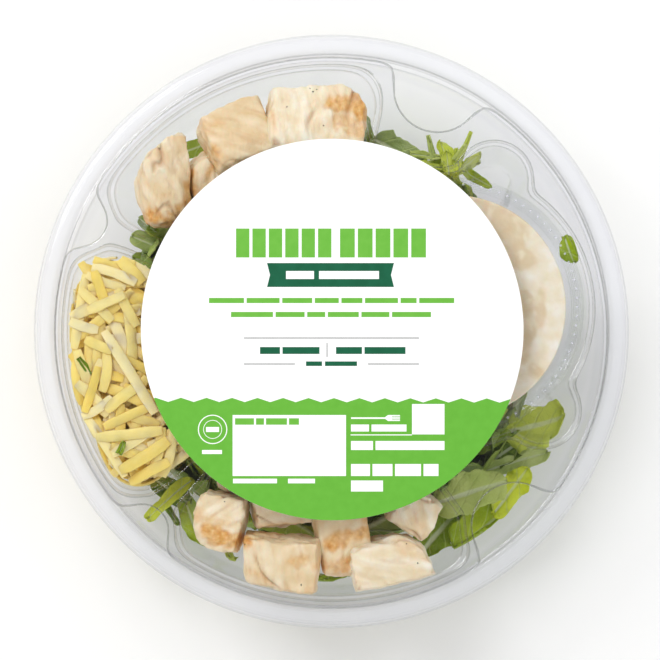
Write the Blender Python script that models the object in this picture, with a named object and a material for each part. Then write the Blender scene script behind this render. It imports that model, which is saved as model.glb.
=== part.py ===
"""A chicken caesar salad as sold to go: a clear round bowl of cut romaine, a clear tray that hangs in its
rim with wells for diced chicken, cheese shreds and a sealed cup of dressing, and a snap lid with a label.

The origin is the centre of the foot, +Z is up, and -Y is the edge nearest to the reader of the label."""

import math
import random

import bmesh
import bpy
import numpy as np
from mathutils import Euler, Vector, noise
from mathutils.geometry import delaunay_2d_cdt

MM = 0.001
SEED = 7
ROUND_STEPS = 44

# Bowl, lid and label
RIM_RADIUS = 89.0 * MM
BOWL_HEIGHT = 55.2 * MM
BOWL_WALL = 0.6 * MM
FOOT_OUTER = 57.0 * MM
FOOT_INNER = 53.0 * MM
LEDGE_HEIGHT = 46.7 * MM
LEDGE_INNER = 81.2 * MM
LID_TOP = 57.4 * MM
LID_WALL = 0.5 * MM
LABEL_RADIUS = 57.0 * MM
LABEL_THICKNESS = 0.3 * MM
LABEL_GAP = 0.3 * MM

# Tray that hangs on the ledge
DECK = 47.5 * MM
TRAY_WALL = 0.5 * MM
TRAY_RADIUS = 82.2 * MM
WELL_DEPTH = 18.0 * MM
WELL_REACH = 79.5 * MM
RIM_LEAN = 0.30
SIDE_LEAN = 0.25
SHOULDER = 0.8 * MM
FLOOR_ROUND = 2.2 * MM
CORNER_BLEND = 15.0 * MM
HUB_RADIUS = 31.0 * MM
BRIDGE = 4.0 * MM
# Each wedge-shaped well: the two directions in degrees that its side walls point in
WEDGES = {"upper_chicken": (77.3, 153.0), "cheese": (158.0, 223.0), "lower_chicken": (228.5, 306.0)}
# Each finger notch in the tray's edge: its direction in degrees, its radius and how far out its centre is
NOTCHES = (
    (66.5, 13.0 * MM, 79.4 * MM),
    (156.0, 7.5 * MM, 81.2 * MM),
    (226.5, 7.5 * MM, 81.2 * MM),
    (313.5, 13.0 * MM, 79.4 * MM),
)
NOTCH_BLEND = 6.0 * MM
DECK_LIP = 2.2 * MM

# Dressing cup, its round well and the two finger lobes beside it
CUP_CENTRE = Vector((36.7 * MM, 7.5 * MM))
CUP_WELL_RADIUS = 42.2 * MM
LOBE_RADIUS = 11.6 * MM
LOBE_OUT = 40.5 * MM
LOBE_SPREAD = 60.8
CUP_RIM = 37.6 * MM
CUP_MOUTH = 34.2 * MM
CUP_BASE = 28.0 * MM
CUP_TOP = 50.6 * MM
CUP_BOTTOM = 29.9 * MM
CUP_WALL = 0.5 * MM
DRESSING_TOP = 49.3 * MM
SEAL_THICKNESS = 0.3 * MM

# A dice of chicken, as shares of half its size: the ball that its cube is drawn towards, and its relief
DICE_BALL = 1.32
DICE_ROUND = 0.22
DICE_SWELL = 0.13
DICE_CRAG = 0.07

GAP = 0.35 * MM
SEAT_GAP = 1.35 * MM
LEAF_THICKNESS = 0.9 * MM

# The heap of cheese: its core's rows, each a height over the well's floor and how far inside its wall
CHEESE_ROWS = ((4.0, 1.2), (9.0, 1.0), (14.0, 1.4), (17.0, 6.0))
SHREDS = 33
SHRED_LENGTH = (17.0, 27.0)
SHRED_WIDTH = 2.6 * MM
SHRED_THICKNESS = 1.7 * MM
SHRED_TURNS = (159.0, 221.0)
SHRED_REACH = (42.0, 78.0)
SHRED_HEADING = 190.0
SHORTEST_SHRED = 9.0 * MM
GOLDEN = 0.618

# The lettuce core's rows: height and radius (mm)
LETTUCE_ROWS = ((3.4, 53.5), (9.0, 56.5), (20.0, 58.5), (30.0, 58.0), (39.5, 54.0))


def clear_scene():
    for thing in list(bpy.data.objects):
        bpy.data.objects.remove(thing, do_unlink=True)


def finish(name, colour, roughness, alpha=1.0):
    """A Principled material of that sRGB-linear colour."""
    made = bpy.data.materials.new(name)
    made.use_nodes = True
    shader = made.node_tree.nodes["Principled BSDF"]
    shader.inputs["Base Color"].default_value = (*colour, 1.0)
    shader.inputs["Roughness"].default_value = roughness
    shader.inputs["Metallic"].default_value = 0.0
    shader.inputs["Alpha"].default_value = alpha
    return made


def solid(name, points, faces, material, smooth=False):
    """A new object from points and faces."""
    mesh = bpy.data.meshes.new(name)
    mesh.from_pydata([tuple(p) for p in points], [], [tuple(f) for f in faces])
    mesh.materials.append(material)
    form = bmesh.new()
    form.from_mesh(mesh)
    bmesh.ops.recalc_face_normals(form, faces=form.faces[:])
    form.to_mesh(mesh)
    form.free()
    if smooth:
        mesh.shade_smooth()
    made = bpy.data.objects.new(name, mesh)
    bpy.context.scene.collection.objects.link(made)
    return made


def lathe(name, profile, material, centre=(0.0, 0.0), steps=ROUND_STEPS, bump=None):
    """Turns a closed profile of (radius, height) about the upright axis through centre. A point of radius 0
    becomes one pole. bump, if given, is added to the height of each point as bump(x, y, row)."""
    points, rows, faces = [], [], []
    for row, (radius, height) in enumerate(profile):
        ring = []
        for step in range(steps if radius > 0 else 1):
            turn = 2 * math.pi * step / steps
            x = centre[0] + radius * math.cos(turn)
            y = centre[1] + radius * math.sin(turn)
            ring.append(len(points))
            points.append((x, y, height + (bump(x, y, row) if bump else 0.0)))
        rows.append(ring)
    for row, ring in enumerate(rows):
        after = rows[(row + 1) % len(rows)]
        if len(ring) == 1 and len(after) == 1:
            continue
        for step in range(steps):
            nxt = (step + 1) % steps
            if len(ring) == 1:
                faces.append((ring[0], after[nxt], after[step]))
            elif len(after) == 1:
                faces.append((ring[step], ring[nxt], after[0]))
            else:
                faces.append((ring[step], ring[nxt], after[nxt], after[step]))
    made = solid(name, points, faces, material, smooth=True)
    made.data.set_sharp_from_angle(angle=math.radians(30))
    return made


# The bowl, the lid and the label
def bowl_wall():
    """(radius, height) down the inside of the bowl from its flange to its floor."""
    return [
        (87.9 * MM, BOWL_HEIGHT),
        (83.9 * MM, BOWL_HEIGHT),
        (83.1 * MM, LEDGE_HEIGHT),
        (LEDGE_INNER, LEDGE_HEIGHT),
        (79.4 * MM, 36.2 * MM),
        (77.9 * MM, 34.8 * MM),
        (64.0 * MM, 4.2 * MM),
        (60.4 * MM, 1.4 * MM),
        (FOOT_OUTER - 0.2 * MM, BOWL_WALL),
        (FOOT_INNER + 0.2 * MM, BOWL_WALL),
        (50.6 * MM, 1.8 * MM),
    ]


def bowl_radius(height):
    """The bowl's inner radius at a height."""
    wall = bowl_wall()[::-1]
    return np.interp(height, [p[1] for p in wall], [p[0] for p in wall])


def build_bowl(material):
    inside = bowl_wall()
    outside = [
        (0.0, 1.2 * MM),
        (50.2 * MM, 1.2 * MM),
        (FOOT_INNER, 0.0),
        (FOOT_OUTER, 0.0),
        (60.8 * MM, 0.9 * MM),
        (64.6 * MM, 4.0 * MM),
        (78.5 * MM, 34.4 * MM),
        (80.0 * MM, 35.8 * MM),
        (81.8 * MM, 46.1 * MM),
        (83.7 * MM, 46.1 * MM),
        (84.5 * MM, 54.6 * MM),
        (87.4 * MM, 54.6 * MM),
        (87.5 * MM, 52.6 * MM),
        (88.1 * MM, 52.6 * MM),
    ]
    return lathe("bowl", outside + inside + [(0.0, 1.8 * MM)], material)


def build_lid(material):
    flange = 56.1 * MM
    profile = [
        (0.0, LID_TOP - LID_WALL),
        (81.7 * MM, LID_TOP - LID_WALL),
        (82.7 * MM, flange - LID_WALL),
        (88.0 * MM, flange - LID_WALL),
        (88.45 * MM, 55.2 * MM),
        (88.5 * MM, 51.4 * MM),
        (RIM_RADIUS, 51.4 * MM),
        (RIM_RADIUS, 55.2 * MM),
        (88.3 * MM, flange),
        (83.2 * MM, flange),
        (82.2 * MM, LID_TOP),
        (0.0, LID_TOP),
    ]
    return lathe("lid", profile, material)


def build_label(material):
    low = LID_TOP + LABEL_GAP
    high = low + LABEL_THICKNESS
    profile = [(0.0, low), (LABEL_RADIUS, low), (LABEL_RADIUS, high), (0.0, high)]
    return lathe("label", profile, material, steps=56)


# Where the tray's walls are, as signed distances in plan: below 0 is inside
def smooth_max(a, b, blend):
    return np.maximum(a, b) + np.maximum(blend - np.abs(a - b), 0.0) ** 2 / (4 * blend)


def smooth_min(a, b, blend):
    return -smooth_max(-a, -b, blend)


def wedge_edge(name, x, y, depth):
    """How far a point lies outside a wedge-shaped well's wall, at a depth under the deck."""
    start, end = (math.radians(turn) for turn in WEDGES[name])
    out = np.hypot(x, y)
    from_cup = np.hypot(x - CUP_CENTRE.x, y - CUP_CENTRE.y)
    rim = out - (WELL_REACH - RIM_LEAN * depth)
    first = math.sin(start) * x - math.cos(start) * y
    last = math.cos(end) * y - math.sin(end) * x
    hub = smooth_max(HUB_RADIUS - out, CUP_WELL_RADIUS + BRIDGE - from_cup, CORNER_BLEND / 3)
    sides = smooth_max(smooth_max(first, last, CORNER_BLEND / 3), hub, CORNER_BLEND / 2)
    walls = smooth_max(rim, sides + SIDE_LEAN * depth, CORNER_BLEND)
    return smooth_max(walls, tray_edge(x, y) + DECK_LIP, 2.0 * MM)


def lobe_centres():
    axis = math.atan2(CUP_CENTRE.y, CUP_CENTRE.x)
    for side in (1, -1):
        turn = axis + side * math.radians(LOBE_SPREAD)
        yield CUP_CENTRE + Vector((math.cos(turn), math.sin(turn))) * LOBE_OUT


def cup_edge(x, y, depth):
    """The same for the round well of the dressing cup with its two finger lobes."""
    edge = np.hypot(x - CUP_CENTRE.x, y - CUP_CENTRE.y) - (CUP_WELL_RADIUS - RIM_LEAN * depth)
    for lobe in lobe_centres():
        near = np.hypot(x - lobe.x, y - lobe.y) - (LOBE_RADIUS - SIDE_LEAN * depth)
        edge = smooth_min(edge, near, 3.0 * MM)
    edge = smooth_max(edge, np.hypot(x, y) - (WELL_REACH + 0.3 * MM - RIM_LEAN * depth), 1.5 * MM)
    return smooth_max(edge, tray_edge(x, y) + DECK_LIP, 2.0 * MM)


def well_edge(name, x, y, depth):
    return cup_edge(x, y, depth) if name == "dressing" else wedge_edge(name, x, y, depth)


def well_centre(name):
    if name == "dressing":
        return CUP_CENTRE
    turn = math.radians(sum(WEDGES[name]) / 2)
    return Vector((math.cos(turn), math.sin(turn))) * 58.0 * MM


def tray_edge(x, y):
    """How far a point lies outside the tray's notched outline."""
    edge = np.hypot(x, y) - TRAY_RADIUS
    for turn, radius, out in NOTCHES:
        cx, cy = out * math.cos(math.radians(turn)), out * math.sin(math.radians(turn))
        edge = smooth_max(edge, radius - np.hypot(x - cx, y - cy), NOTCH_BLEND)
    return edge


def outline(edge, centre, level, count, reach=92.0 * MM):
    """count points round centre, each the first on its way out where edge(x, y) rises past level."""
    turns = np.linspace(0, 2 * math.pi, count, endpoint=False)
    ways = np.stack([np.cos(turns), np.sin(turns)], axis=1)
    out = np.linspace(0, reach, 400)
    x = centre[0] + ways[:, :1] * out
    y = centre[1] + ways[:, 1:] * out
    past = edge(x, y) > level
    first = np.maximum(past.argmax(axis=1), 1)
    low, high = out[first - 1], out[first]
    for _ in range(20):
        mid = (low + high) / 2
        beyond = edge(centre[0] + ways[:, 0] * mid, centre[1] + ways[:, 1] * mid) > level
        low, high = np.where(beyond, low, mid), np.where(beyond, mid, high)
    return np.array(centre[:2]) + ways * low[:, None]


WELLS = (*WEDGES, "dressing")
WELL_POINTS = {"upper_chicken": 28, "cheese": 28, "lower_chicken": 28, "dressing": 44}
# Down a well's wall: depth under the deck and how far inside the wall line
WELL_LEVELS = (
    (0.0, 0.0),
    (SHOULDER, 0.5 * MM),
    (WELL_DEPTH - FLOOR_ROUND, 0.5 * MM),
    (WELL_DEPTH, 0.5 * MM + FLOOR_ROUND),
)


def well_ring(name, depth, inset):
    return outline(
        lambda x, y: well_edge(name, x, y, depth), well_centre(name), -inset, WELL_POINTS[name]
    )


def build_tray(material):
    """One thin sheet: the notched deck, and each well's wall and floor hung from it. Solidify thickens it."""
    points, faces, loops = [], [], []

    def add_ring(ring, height):
        first = len(points)
        points.extend((x, y, height) for x, y in ring)
        return list(range(first, len(points)))

    rim = add_ring(outline(tray_edge, (0.0, 0.0), 0.0, 96), DECK)
    loops.append(rim)
    for name in WELLS:
        rings = [add_ring(well_ring(name, d, inset), DECK - d) for d, inset in WELL_LEVELS]
        loops.append(rings[0])
        for upper, lower in zip(rings, rings[1:]):
            for step, here in enumerate(upper):
                nxt = (step + 1) % len(upper)
                faces.append((here, upper[nxt], lower[nxt], lower[step]))
        faces.append(tuple(rings[-1]))
    faces.extend(deck_faces(points, loops))
    made = solid("tray", points, faces, material, smooth=True)
    made.data.set_sharp_from_angle(angle=math.radians(40))
    thicken = made.modifiers.new("wall", "SOLIDIFY")
    thicken.thickness = TRAY_WALL
    thicken.offset = -1.0
    thicken.use_even_offset = True
    return made


def encloses(ring, x, y):
    """Whether a closed ring of points goes round x, y."""
    ahead = np.roll(ring, -1, axis=0)
    spans = (ring[:, 1] > y) != (ahead[:, 1] > y)
    here, nxt = ring[spans], ahead[spans]
    cross = here[:, 0] + (nxt[:, 0] - here[:, 0]) * (y - here[:, 1]) / (nxt[:, 1] - here[:, 1])
    return (cross > x).sum() % 2 == 1


def deck_faces(points, loops):
    """Triangles that fill the deck between the tray's rim, which is the first loop, and its wells' mouths."""
    used = [index for loop in loops for index in loop]
    rings = [np.array([points[index][:2] for index in loop]) for loop in loops]
    edges, first = [], 0
    for loop in loops:
        edges.extend((first + k, first + (k + 1) % len(loop)) for k in range(len(loop)))
        first += len(loop)
    flat = [Vector(points[index][:2]) for index in used]
    places, _, triangles, origins, _, _ = delaunay_2d_cdt(flat, edges, [], 0, 1e-7)
    for triangle in triangles:
        middle = sum((places[k] for k in triangle), Vector((0.0, 0.0))) / 3
        if [encloses(ring, middle.x, middle.y) for ring in rings] == [True] + [False] * len(WELLS):
            yield tuple(used[origins[k][0]] for k in triangle)


# Keeping food inside what holds it
def seated(name, points, gap=SEAT_GAP):
    """Points moved until they clear a well's floor and walls."""
    made = np.array(points, float)
    made[:, 2] = np.maximum(made[:, 2], DECK - WELL_DEPTH + gap)
    step = 0.02 * MM
    for _ in range(12):
        x, y = made[:, 0], made[:, 1]
        depth = np.clip(DECK - made[:, 2], 0.0, WELL_DEPTH)
        floor_round = np.clip(FLOOR_ROUND - (WELL_DEPTH - depth), 0.0, FLOOR_ROUND)
        limit = -(0.5 * MM + gap) - floor_round
        here = well_edge(name, x, y, depth)
        over = np.maximum(here - limit, 0.0)
        slope_x = (well_edge(name, x + step, y, depth) - here) / step
        slope_y = (well_edge(name, x, y + step, depth) - here) / step
        size = np.maximum(np.hypot(slope_x, slope_y), 0.2)
        made[:, 0] -= over * slope_x / size**2
        made[:, 1] -= over * slope_y / size**2
    return made


# The dressing in its cup
def build_cup(material):
    outside = [
        (0.0, CUP_BOTTOM),
        (CUP_BASE, CUP_BOTTOM),
        (CUP_BASE + 1.0 * MM, CUP_BOTTOM + 1.2 * MM),
        (CUP_MOUTH + CUP_WALL, CUP_TOP - 1.4 * MM),
        (CUP_RIM, CUP_TOP - 1.2 * MM),
        (CUP_RIM, CUP_TOP - CUP_WALL),
    ]
    inside = [
        (CUP_RIM - 0.5 * MM, CUP_TOP),
        (CUP_MOUTH + 0.6 * MM, CUP_TOP),
        (CUP_MOUTH, CUP_TOP - 0.8 * MM),
        (CUP_BASE + 0.6 * MM, CUP_BOTTOM + 1.5 * MM),
        (CUP_BASE - 0.6 * MM, CUP_BOTTOM + CUP_WALL),
        (0.0, CUP_BOTTOM + CUP_WALL),
    ]
    return lathe("dressing_cup", outside + inside, material, CUP_CENTRE, steps=32)


def cup_wall(height):
    """The cup's inner radius at a height."""
    share = (height - CUP_BOTTOM - 1.5 * MM) / (CUP_TOP - CUP_BOTTOM - 2.3 * MM)
    return CUP_BASE + 0.6 * MM + share * (CUP_MOUTH - CUP_BASE - 0.6 * MM)


def build_dressing(material):
    low = CUP_BOTTOM + CUP_WALL + GAP
    shoulder = low + 1.4 * MM
    rim = DRESSING_TOP - 0.5 * MM

    def swell(x, y, row):
        """Thick dressing lies in low swells."""
        return 0.45 * MM * noise.noise(Vector((x, y, 0.0)) * 90) if row >= 5 else 0.0

    profile = [
        (0.0, low),
        (CUP_BASE - 1.2 * MM, low),
        (cup_wall(shoulder) - GAP, shoulder),
        (cup_wall(rim) - GAP, rim),
        (cup_wall(rim) - GAP - 0.6 * MM, DRESSING_TOP),
        (25.0 * MM, DRESSING_TOP),
        (14.0 * MM, DRESSING_TOP),
        (0.0, DRESSING_TOP),
    ]
    return lathe("dressing", profile, material, CUP_CENTRE, steps=32, bump=swell)


def build_seal(material):
    low = CUP_TOP + 0.3 * MM
    high = low + SEAL_THICKNESS
    edge = CUP_RIM + 0.4 * MM
    profile = [(0.0, low), (edge, low), (edge, high), (0.0, high)]
    return lathe("dressing_seal", profile, material, CUP_CENTRE, steps=32)


# Diced chicken
# name, well, centre x, y and z, size along its own axes (all mm), and its turns in degrees
CHICKEN = (
    ("chicken_01", "upper_chicken", (-52.0, 46.6, 43.6), (17.0, 26.5, 19.0), (10, 14, 8), 4),
    ("chicken_02", "upper_chicken", (-36.4, 42.6, 40.6), (12.5, 17.0, 16.0), (8, -10, 38), 4),
    ("chicken_03", "upper_chicken", (-29.0, 59.8, 44.0), (20.5, 20.5, 19.0), (-14, 6, 20), 4),
    ("chicken_04", "upper_chicken", (-3.4, 64.6, 44.4), (29.0, 21.0, 19.0), (-12, 3, -3), 4),
    ("chicken_05", "upper_chicken", (-19.6, 38.4, 39.0), (15.0, 14.0, 16.0), (6, 9, -24), 3),
    ("chicken_06", "upper_chicken", (-2.4, 45.0, 38.4), (14.5, 11.0, 15.0), (-4, 8, 10), 3),
    ("chicken_07", "lower_chicken", (-34.6, -56.0, 43.0), (18.5, 20.0, 18.0), (12, -8, -12), 4),
    ("chicken_08", "lower_chicken", (-15.4, -50.0, 41.0), (18.0, 15.0, 17.0), (8, 4, 8), 4),
    ("chicken_09", "lower_chicken", (-15.2, -70.0, 45.0), (20.0, 18.5, 17.0), (14, -3, -3), 4),
    ("chicken_10", "lower_chicken", (3.4, -60.2, 41.6), (14.5, 21.0, 17.5), (8, 0, 8), 4),
    ("chicken_11", "lower_chicken", (17.6, -70.2, 44.8), (20.5, 17.5, 16.5), (12, 4, 18), 4),
    ("chicken_12", "lower_chicken", (24.4, -53.6, 42.0), (13.5, 14.0, 15.0), (10, 12, -30), 4),
    ("chicken_13", "lower_chicken", (-28.0, -40.6, 38.8), (14.0, 12.5, 15.0), (4, -8, 26), 3),
    ("chicken_14", "lower_chicken", (-8.0, -37.8, 38.6), (14.5, 10.0, 14.0), (-5, 6, -10), 3),
    ("chicken_15", "lower_chicken", (9.6, -43.0, 38.8), (14.0, 11.0, 14.5), (5, 5, 14), 3),
)


def dice(name, well, centre, size, turns, cuts):
    """A hand-cut dice: a cube with soft edges, torn along the grain of the meat."""
    form = bmesh.new()
    bmesh.ops.create_cube(form, size=2.0)
    bmesh.ops.subdivide_edges(form, edges=form.edges[:], cuts=cuts - 1, use_grid_fill=True)
    bmesh.ops.recalc_face_normals(form, faces=form.faces[:])
    offset = Vector((sum(map(ord, name)) % 97 * 1.7, 0.0, 0.0))
    half = Vector(size) * MM / 2
    turn = Euler([math.radians(t) for t in turns]).to_matrix()
    place = Vector(centre) * MM
    points = []
    for vert in form.verts:
        p = vert.co
        corner = (p.length - 1.0) / (math.sqrt(3) - 1.0)
        p = p.lerp(p.normalized() * DICE_BALL, DICE_ROUND * (1.0 + corner))
        swell = noise.noise(p * 1.1 + offset) * DICE_SWELL
        along_grain = Vector((p.x * 1.2, p.y * 3.4, p.z * 3.4))
        p = p * (1.0 + swell + noise.noise(along_grain + offset) * DICE_CRAG)
        p = Vector((p.x * half.x, p.y * half.y, p.z * half.z))
        points.append(turn @ p + place)
    faces = [[v.index for v in face.verts] for face in form.faces]
    form.free()
    axes = [np.array(turn.col[k]) for k in range(3)]
    return {"name": name, "well": well, "points": np.array(points), "faces": faces, "axes": axes}


def part_pair(one, two, gap):
    """Presses two pieces flat against the plane between them, with a gap left."""
    between = two["points"].mean(axis=0) - one["points"].mean(axis=0)
    best = None
    for axis in [between / np.linalg.norm(between), *one["axes"], *two["axes"]]:
        axis = axis * (1.0 if axis @ between > 0 else -1.0)
        high, low = (one["points"] @ axis).max(), (two["points"] @ axis).min()
        if best is None or high - low < best[0]:
            best = (high - low, axis, (high + low) / 2)
    over, axis, middle = best
    if over < -gap:
        return
    for piece, way in ((one, 1.0), (two, -1.0)):
        past = way * (piece["points"] @ axis - middle) + gap / 2
        piece["points"] = piece["points"] - np.outer(np.maximum(past, 0.0) * way, axis)


def build_chicken(material):
    """All the dice, seated in their wells and pressed against each other."""
    pieces = [dice(*entry) for entry in CHICKEN]
    for _ in range(16):
        for number, one in enumerate(pieces):
            for two in pieces[number + 1:]:
                if one["well"] == two["well"]:
                    part_pair(one, two, GAP)
        for piece in pieces:
            piece["points"] = seated(piece["well"], piece["points"])
    for piece in pieces:
        solid(piece["name"], piece["points"], piece["faces"], material, smooth=True)


# Heaps: a core with the pieces that show fused on
def fused(core, pieces, trims=(), keeps=()):
    """Joins pieces to core with one Boolean union, cuts trims away and keeps what lies inside keeps."""
    group = bpy.data.collections.new(core.name + "_pieces")
    bpy.context.scene.collection.children.link(group)
    for piece in pieces:
        bpy.context.scene.collection.objects.unlink(piece)
        group.objects.link(piece)
    join = core.modifiers.new("join", "BOOLEAN")
    join.operation, join.operand_type, join.collection = "UNION", "COLLECTION", group
    join.solver = "MANIFOLD"
    for way, cutters in (("DIFFERENCE", trims), ("INTERSECT", keeps)):
        for cutter in cutters:
            cut = core.modifiers.new(cutter.name, "BOOLEAN")
            cut.operation, cut.object, cut.solver = way, cutter, "MANIFOLD"
    bpy.context.view_layer.update()
    seen = core.evaluated_get(bpy.context.evaluated_depsgraph_get())
    mesh = bpy.data.meshes.new_from_object(seen)
    core.modifiers.clear()
    core.data = largest_body(mesh)
    for helper in [*pieces, *trims, *keeps]:
        bpy.data.objects.remove(helper, do_unlink=True)
    bpy.data.collections.remove(group)
    return core


def largest_body(mesh):
    """The mesh with every loose scrap and every closed-in pocket dropped."""
    form = bmesh.new()
    form.from_mesh(mesh)
    bmesh.ops.triangulate(form, faces=form.faces[:])
    left, bodies = set(form.faces), []
    while left:
        body, front = [], [left.pop()]
        while front:
            face = front.pop()
            body.append(face)
            for edge in face.edges:
                for other in edge.link_faces:
                    if other in left:
                        left.discard(other)
                        front.append(other)
        bodies.append(body)
    bodies.sort(key=len)
    for body in bodies[:-1]:
        bmesh.ops.delete(form, geom=body, context="FACES")
    form.to_mesh(mesh)
    form.free()
    return mesh


def sheet_solid(name, grid, thickness, material):
    """A thin wavy solid round a grid of points, both faces split into triangles alike."""
    rows, columns = grid.shape[:2]
    along = np.gradient(grid, axis=0)
    across = np.gradient(grid, axis=1)
    normal = np.cross(along, across)
    normal /= np.maximum(np.linalg.norm(normal, axis=2, keepdims=True), 1e-9)
    top = (grid + normal * thickness / 2).reshape(-1, 3)
    low = (grid - normal * thickness / 2).reshape(-1, 3)
    count = rows * columns
    faces = []

    def at(i, j):
        return i * columns + j

    for i in range(rows - 1):
        for j in range(columns - 1):
            a, b, c, d = at(i, j), at(i + 1, j), at(i + 1, j + 1), at(i, j + 1)
            for p, q, r in ((a, b, c), (a, c, d)):
                faces.append((p, q, r))
                faces.append((count + r, count + q, count + p))
    edge = [at(i, 0) for i in range(rows)]
    edge += [at(rows - 1, j) for j in range(1, columns)]
    edge += [at(i, columns - 1) for i in range(rows - 2, -1, -1)]
    edge += [at(0, j) for j in range(columns - 2, 0, -1)]
    for here, nxt in zip(edge, edge[1:] + edge[:1]):
        faces.append((here, count + here, count + nxt))
        faces.append((here, count + nxt, nxt))
    return solid(name, np.concatenate([top, low]), faces, material)


def shred(name, middle, material):
    """A strip of cheese along a line of points, square in section."""
    middle = np.array(middle)
    along = np.gradient(middle, axis=0)
    along /= np.linalg.norm(along, axis=1, keepdims=True)
    side = np.cross(along, (0.0, 0.0, 1.0))
    side /= np.maximum(np.linalg.norm(side, axis=1, keepdims=True), 1e-6)
    up = np.cross(side, along)
    points, faces = [], []
    for centre, s, u in zip(middle, side, up):
        for w, h in ((-1, -1), (1, -1), (1, 1), (-1, 1)):
            points.append(centre + s * w * SHRED_WIDTH / 2 + u * h * SHRED_THICKNESS / 2)
    for k in range(len(middle) - 1):
        for c in range(4):
            d = (c + 1) % 4
            faces.append((4 * k + c, 4 * k + d, 4 * k + 4 + d, 4 * k + 4 + c))
    last = 4 * (len(middle) - 1)
    faces.append((3, 2, 1, 0))
    faces.append((last, last + 1, last + 2, last + 3))
    return solid(name, points, faces, material)


def cheese_core(material):
    """The heap under the shreds: it follows the well's wall and rounds over at the top."""
    count = 18
    rows = [(0.4, 3.0), *CHEESE_ROWS]
    points, rings, faces = [], [], []
    for up, inset in rows:
        depth = WELL_DEPTH - (up * MM if rings else 0.0)
        ring = outline(
            lambda x, y: well_edge("cheese", x, y, depth), well_centre("cheese"), -(inset + 1.0) * MM, count
        )
        rings.append(list(range(len(points), len(points) + count)))
        points.extend((x, y, DECK - WELL_DEPTH + up * MM) for x, y in ring)
    for low, high in zip(rings, rings[1:]):
        for k in range(count):
            nxt = (k + 1) % count
            faces.append((low[k], low[nxt], high[nxt], high[k]))
    faces.extend([tuple(reversed(rings[0])), tuple(rings[-1])])
    return solid("cheese", points, faces, material)


def build_cheese(material):
    """Shreds of hard cheese heaped in their well, spread evenly over the heap."""
    draw = random.Random(SEED)
    pieces = []
    for number in range(SHREDS):
        share = GOLDEN * number % 1
        turn = math.radians(SHRED_TURNS[0] + (SHRED_TURNS[1] - SHRED_TURNS[0]) * share)
        share = (GOLDEN * GOLDEN * 1.7 * number % 1) ** 0.6
        out = (SHRED_REACH[0] + (SHRED_REACH[1] - SHRED_REACH[0]) * share) * MM
        heading = math.radians(SHRED_HEADING) + draw.gauss(0, 0.55)
        length = draw.uniform(*SHRED_LENGTH) * MM
        height = DECK + draw.uniform(-2.5, 3.0) * MM
        rise, bend = draw.uniform(-0.22, 0.22), draw.uniform(-0.4, 0.4)
        middle = np.array([out * math.cos(turn), out * math.sin(turn), height])
        steps = np.linspace(-0.5, 0.5, 3)[:, None]
        way = np.array([math.cos(heading), math.sin(heading), rise])
        side = np.array([-math.sin(heading), math.cos(heading), 0.0])
        line = middle + length * (steps * way + (steps**2 - 0.08) * bend * side)
        line = seated("cheese", line, gap=SHRED_WIDTH)
        if np.linalg.norm(line[2] - line[0]) > SHORTEST_SHRED:
            pieces.append(shred(f"shred_{number:02d}", line, material))
    return fused(cheese_core(material), pieces)


# Leaves that show: the middle's x, y and z, length and width (all mm), and heading, pitch and roll in degrees
LEAVES = (
    ((-38.0, 49.0, 24.5), (38.0, 16.0), (128, 0, 5)),
    ((-50.0, 31.0, 37.0), (28.0, 14.0), (150, 8, 50)),
    ((-48.0, 33.0, 24.0), (28.0, 18.0), (146, 0, 0)),
    ((19.0, 53.0, 39.5), (28.0, 14.0), (-28, 0, 12)),
    ((32.0, 54.5, 38.5), (38.0, 15.0), (10, 0, 10)),
    ((37.0, 57.0, 38.5), (26.0, 6.0), (34, 4, 0)),
    ((61.0, 20.5, 26.0), (30.0, 10.0), (19, 4, 10)),
    ((57.0, -26.5, 25.5), (36.0, 22.0), (-25, 4, 8)),
    ((49.0, -36.0, 26.0), (36.0, 22.0), (-36, 4, -8)),
    ((41.0, -46.0, 37.0), (32.0, 20.0), (-48, 8, 8)),
    ((43.0, -51.0, 25.0), (42.0, 28.0), (-50, 8, 10)),
    ((-47.0, -48.0, 36.0), (34.0, 12.0), (226, 16, 48)),
    ((-41.0, -43.0, 25.0), (28.0, 20.0), (222, 4, 0)),
    ((-36.0, -51.0, 24.5), (38.0, 18.0), (236, 4, 8)),
    ((-26.0, -56.0, 24.5), (30.0, 12.0), (245, 4, 0)),
    ((2.0, -58.0, 24.5), (32.0, 16.0), (272, 4, 0)),
)


def build_lettuce(material, trims, room):
    """Cut romaine heaped under the tray: a low core with the leaves that show fused on."""
    count = 24

    def crumple(x, y):
        return noise.noise(Vector((x, y, 0.0)) * 75)

    points, rings = [], []
    for height, radius in LETTUCE_ROWS:
        ring = []
        for k in range(count):
            turn = 2 * math.pi * k / count
            x, y = radius * MM * math.cos(turn), radius * MM * math.sin(turn)
            reach = radius * MM * (1 + 0.035 * crumple(x, y))
            ring.append(len(points))
            points.append((reach * math.cos(turn), reach * math.sin(turn), height * MM))
        rings.append(ring)
    top, bottom = len(points), len(points) + 1
    points.extend([(0.0, 0.0, (LETTUCE_ROWS[-1][0] + 1.0) * MM), (0.0, 0.0, LETTUCE_ROWS[0][0] * MM)])
    faces = []
    for k in range(count):
        nxt = (k + 1) % count
        faces.append((bottom, rings[0][nxt], rings[0][k]))
        faces.append((top, rings[-1][k], rings[-1][nxt]))
        for low, high in zip(rings, rings[1:]):
            faces.append((low[k], low[nxt], high[nxt], high[k]))
    core = solid("lettuce", points, faces, material)
    pieces = [leaf(number, *entry, material) for number, entry in enumerate(LEAVES)]
    return fused(core, pieces, trims, [room])


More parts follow.
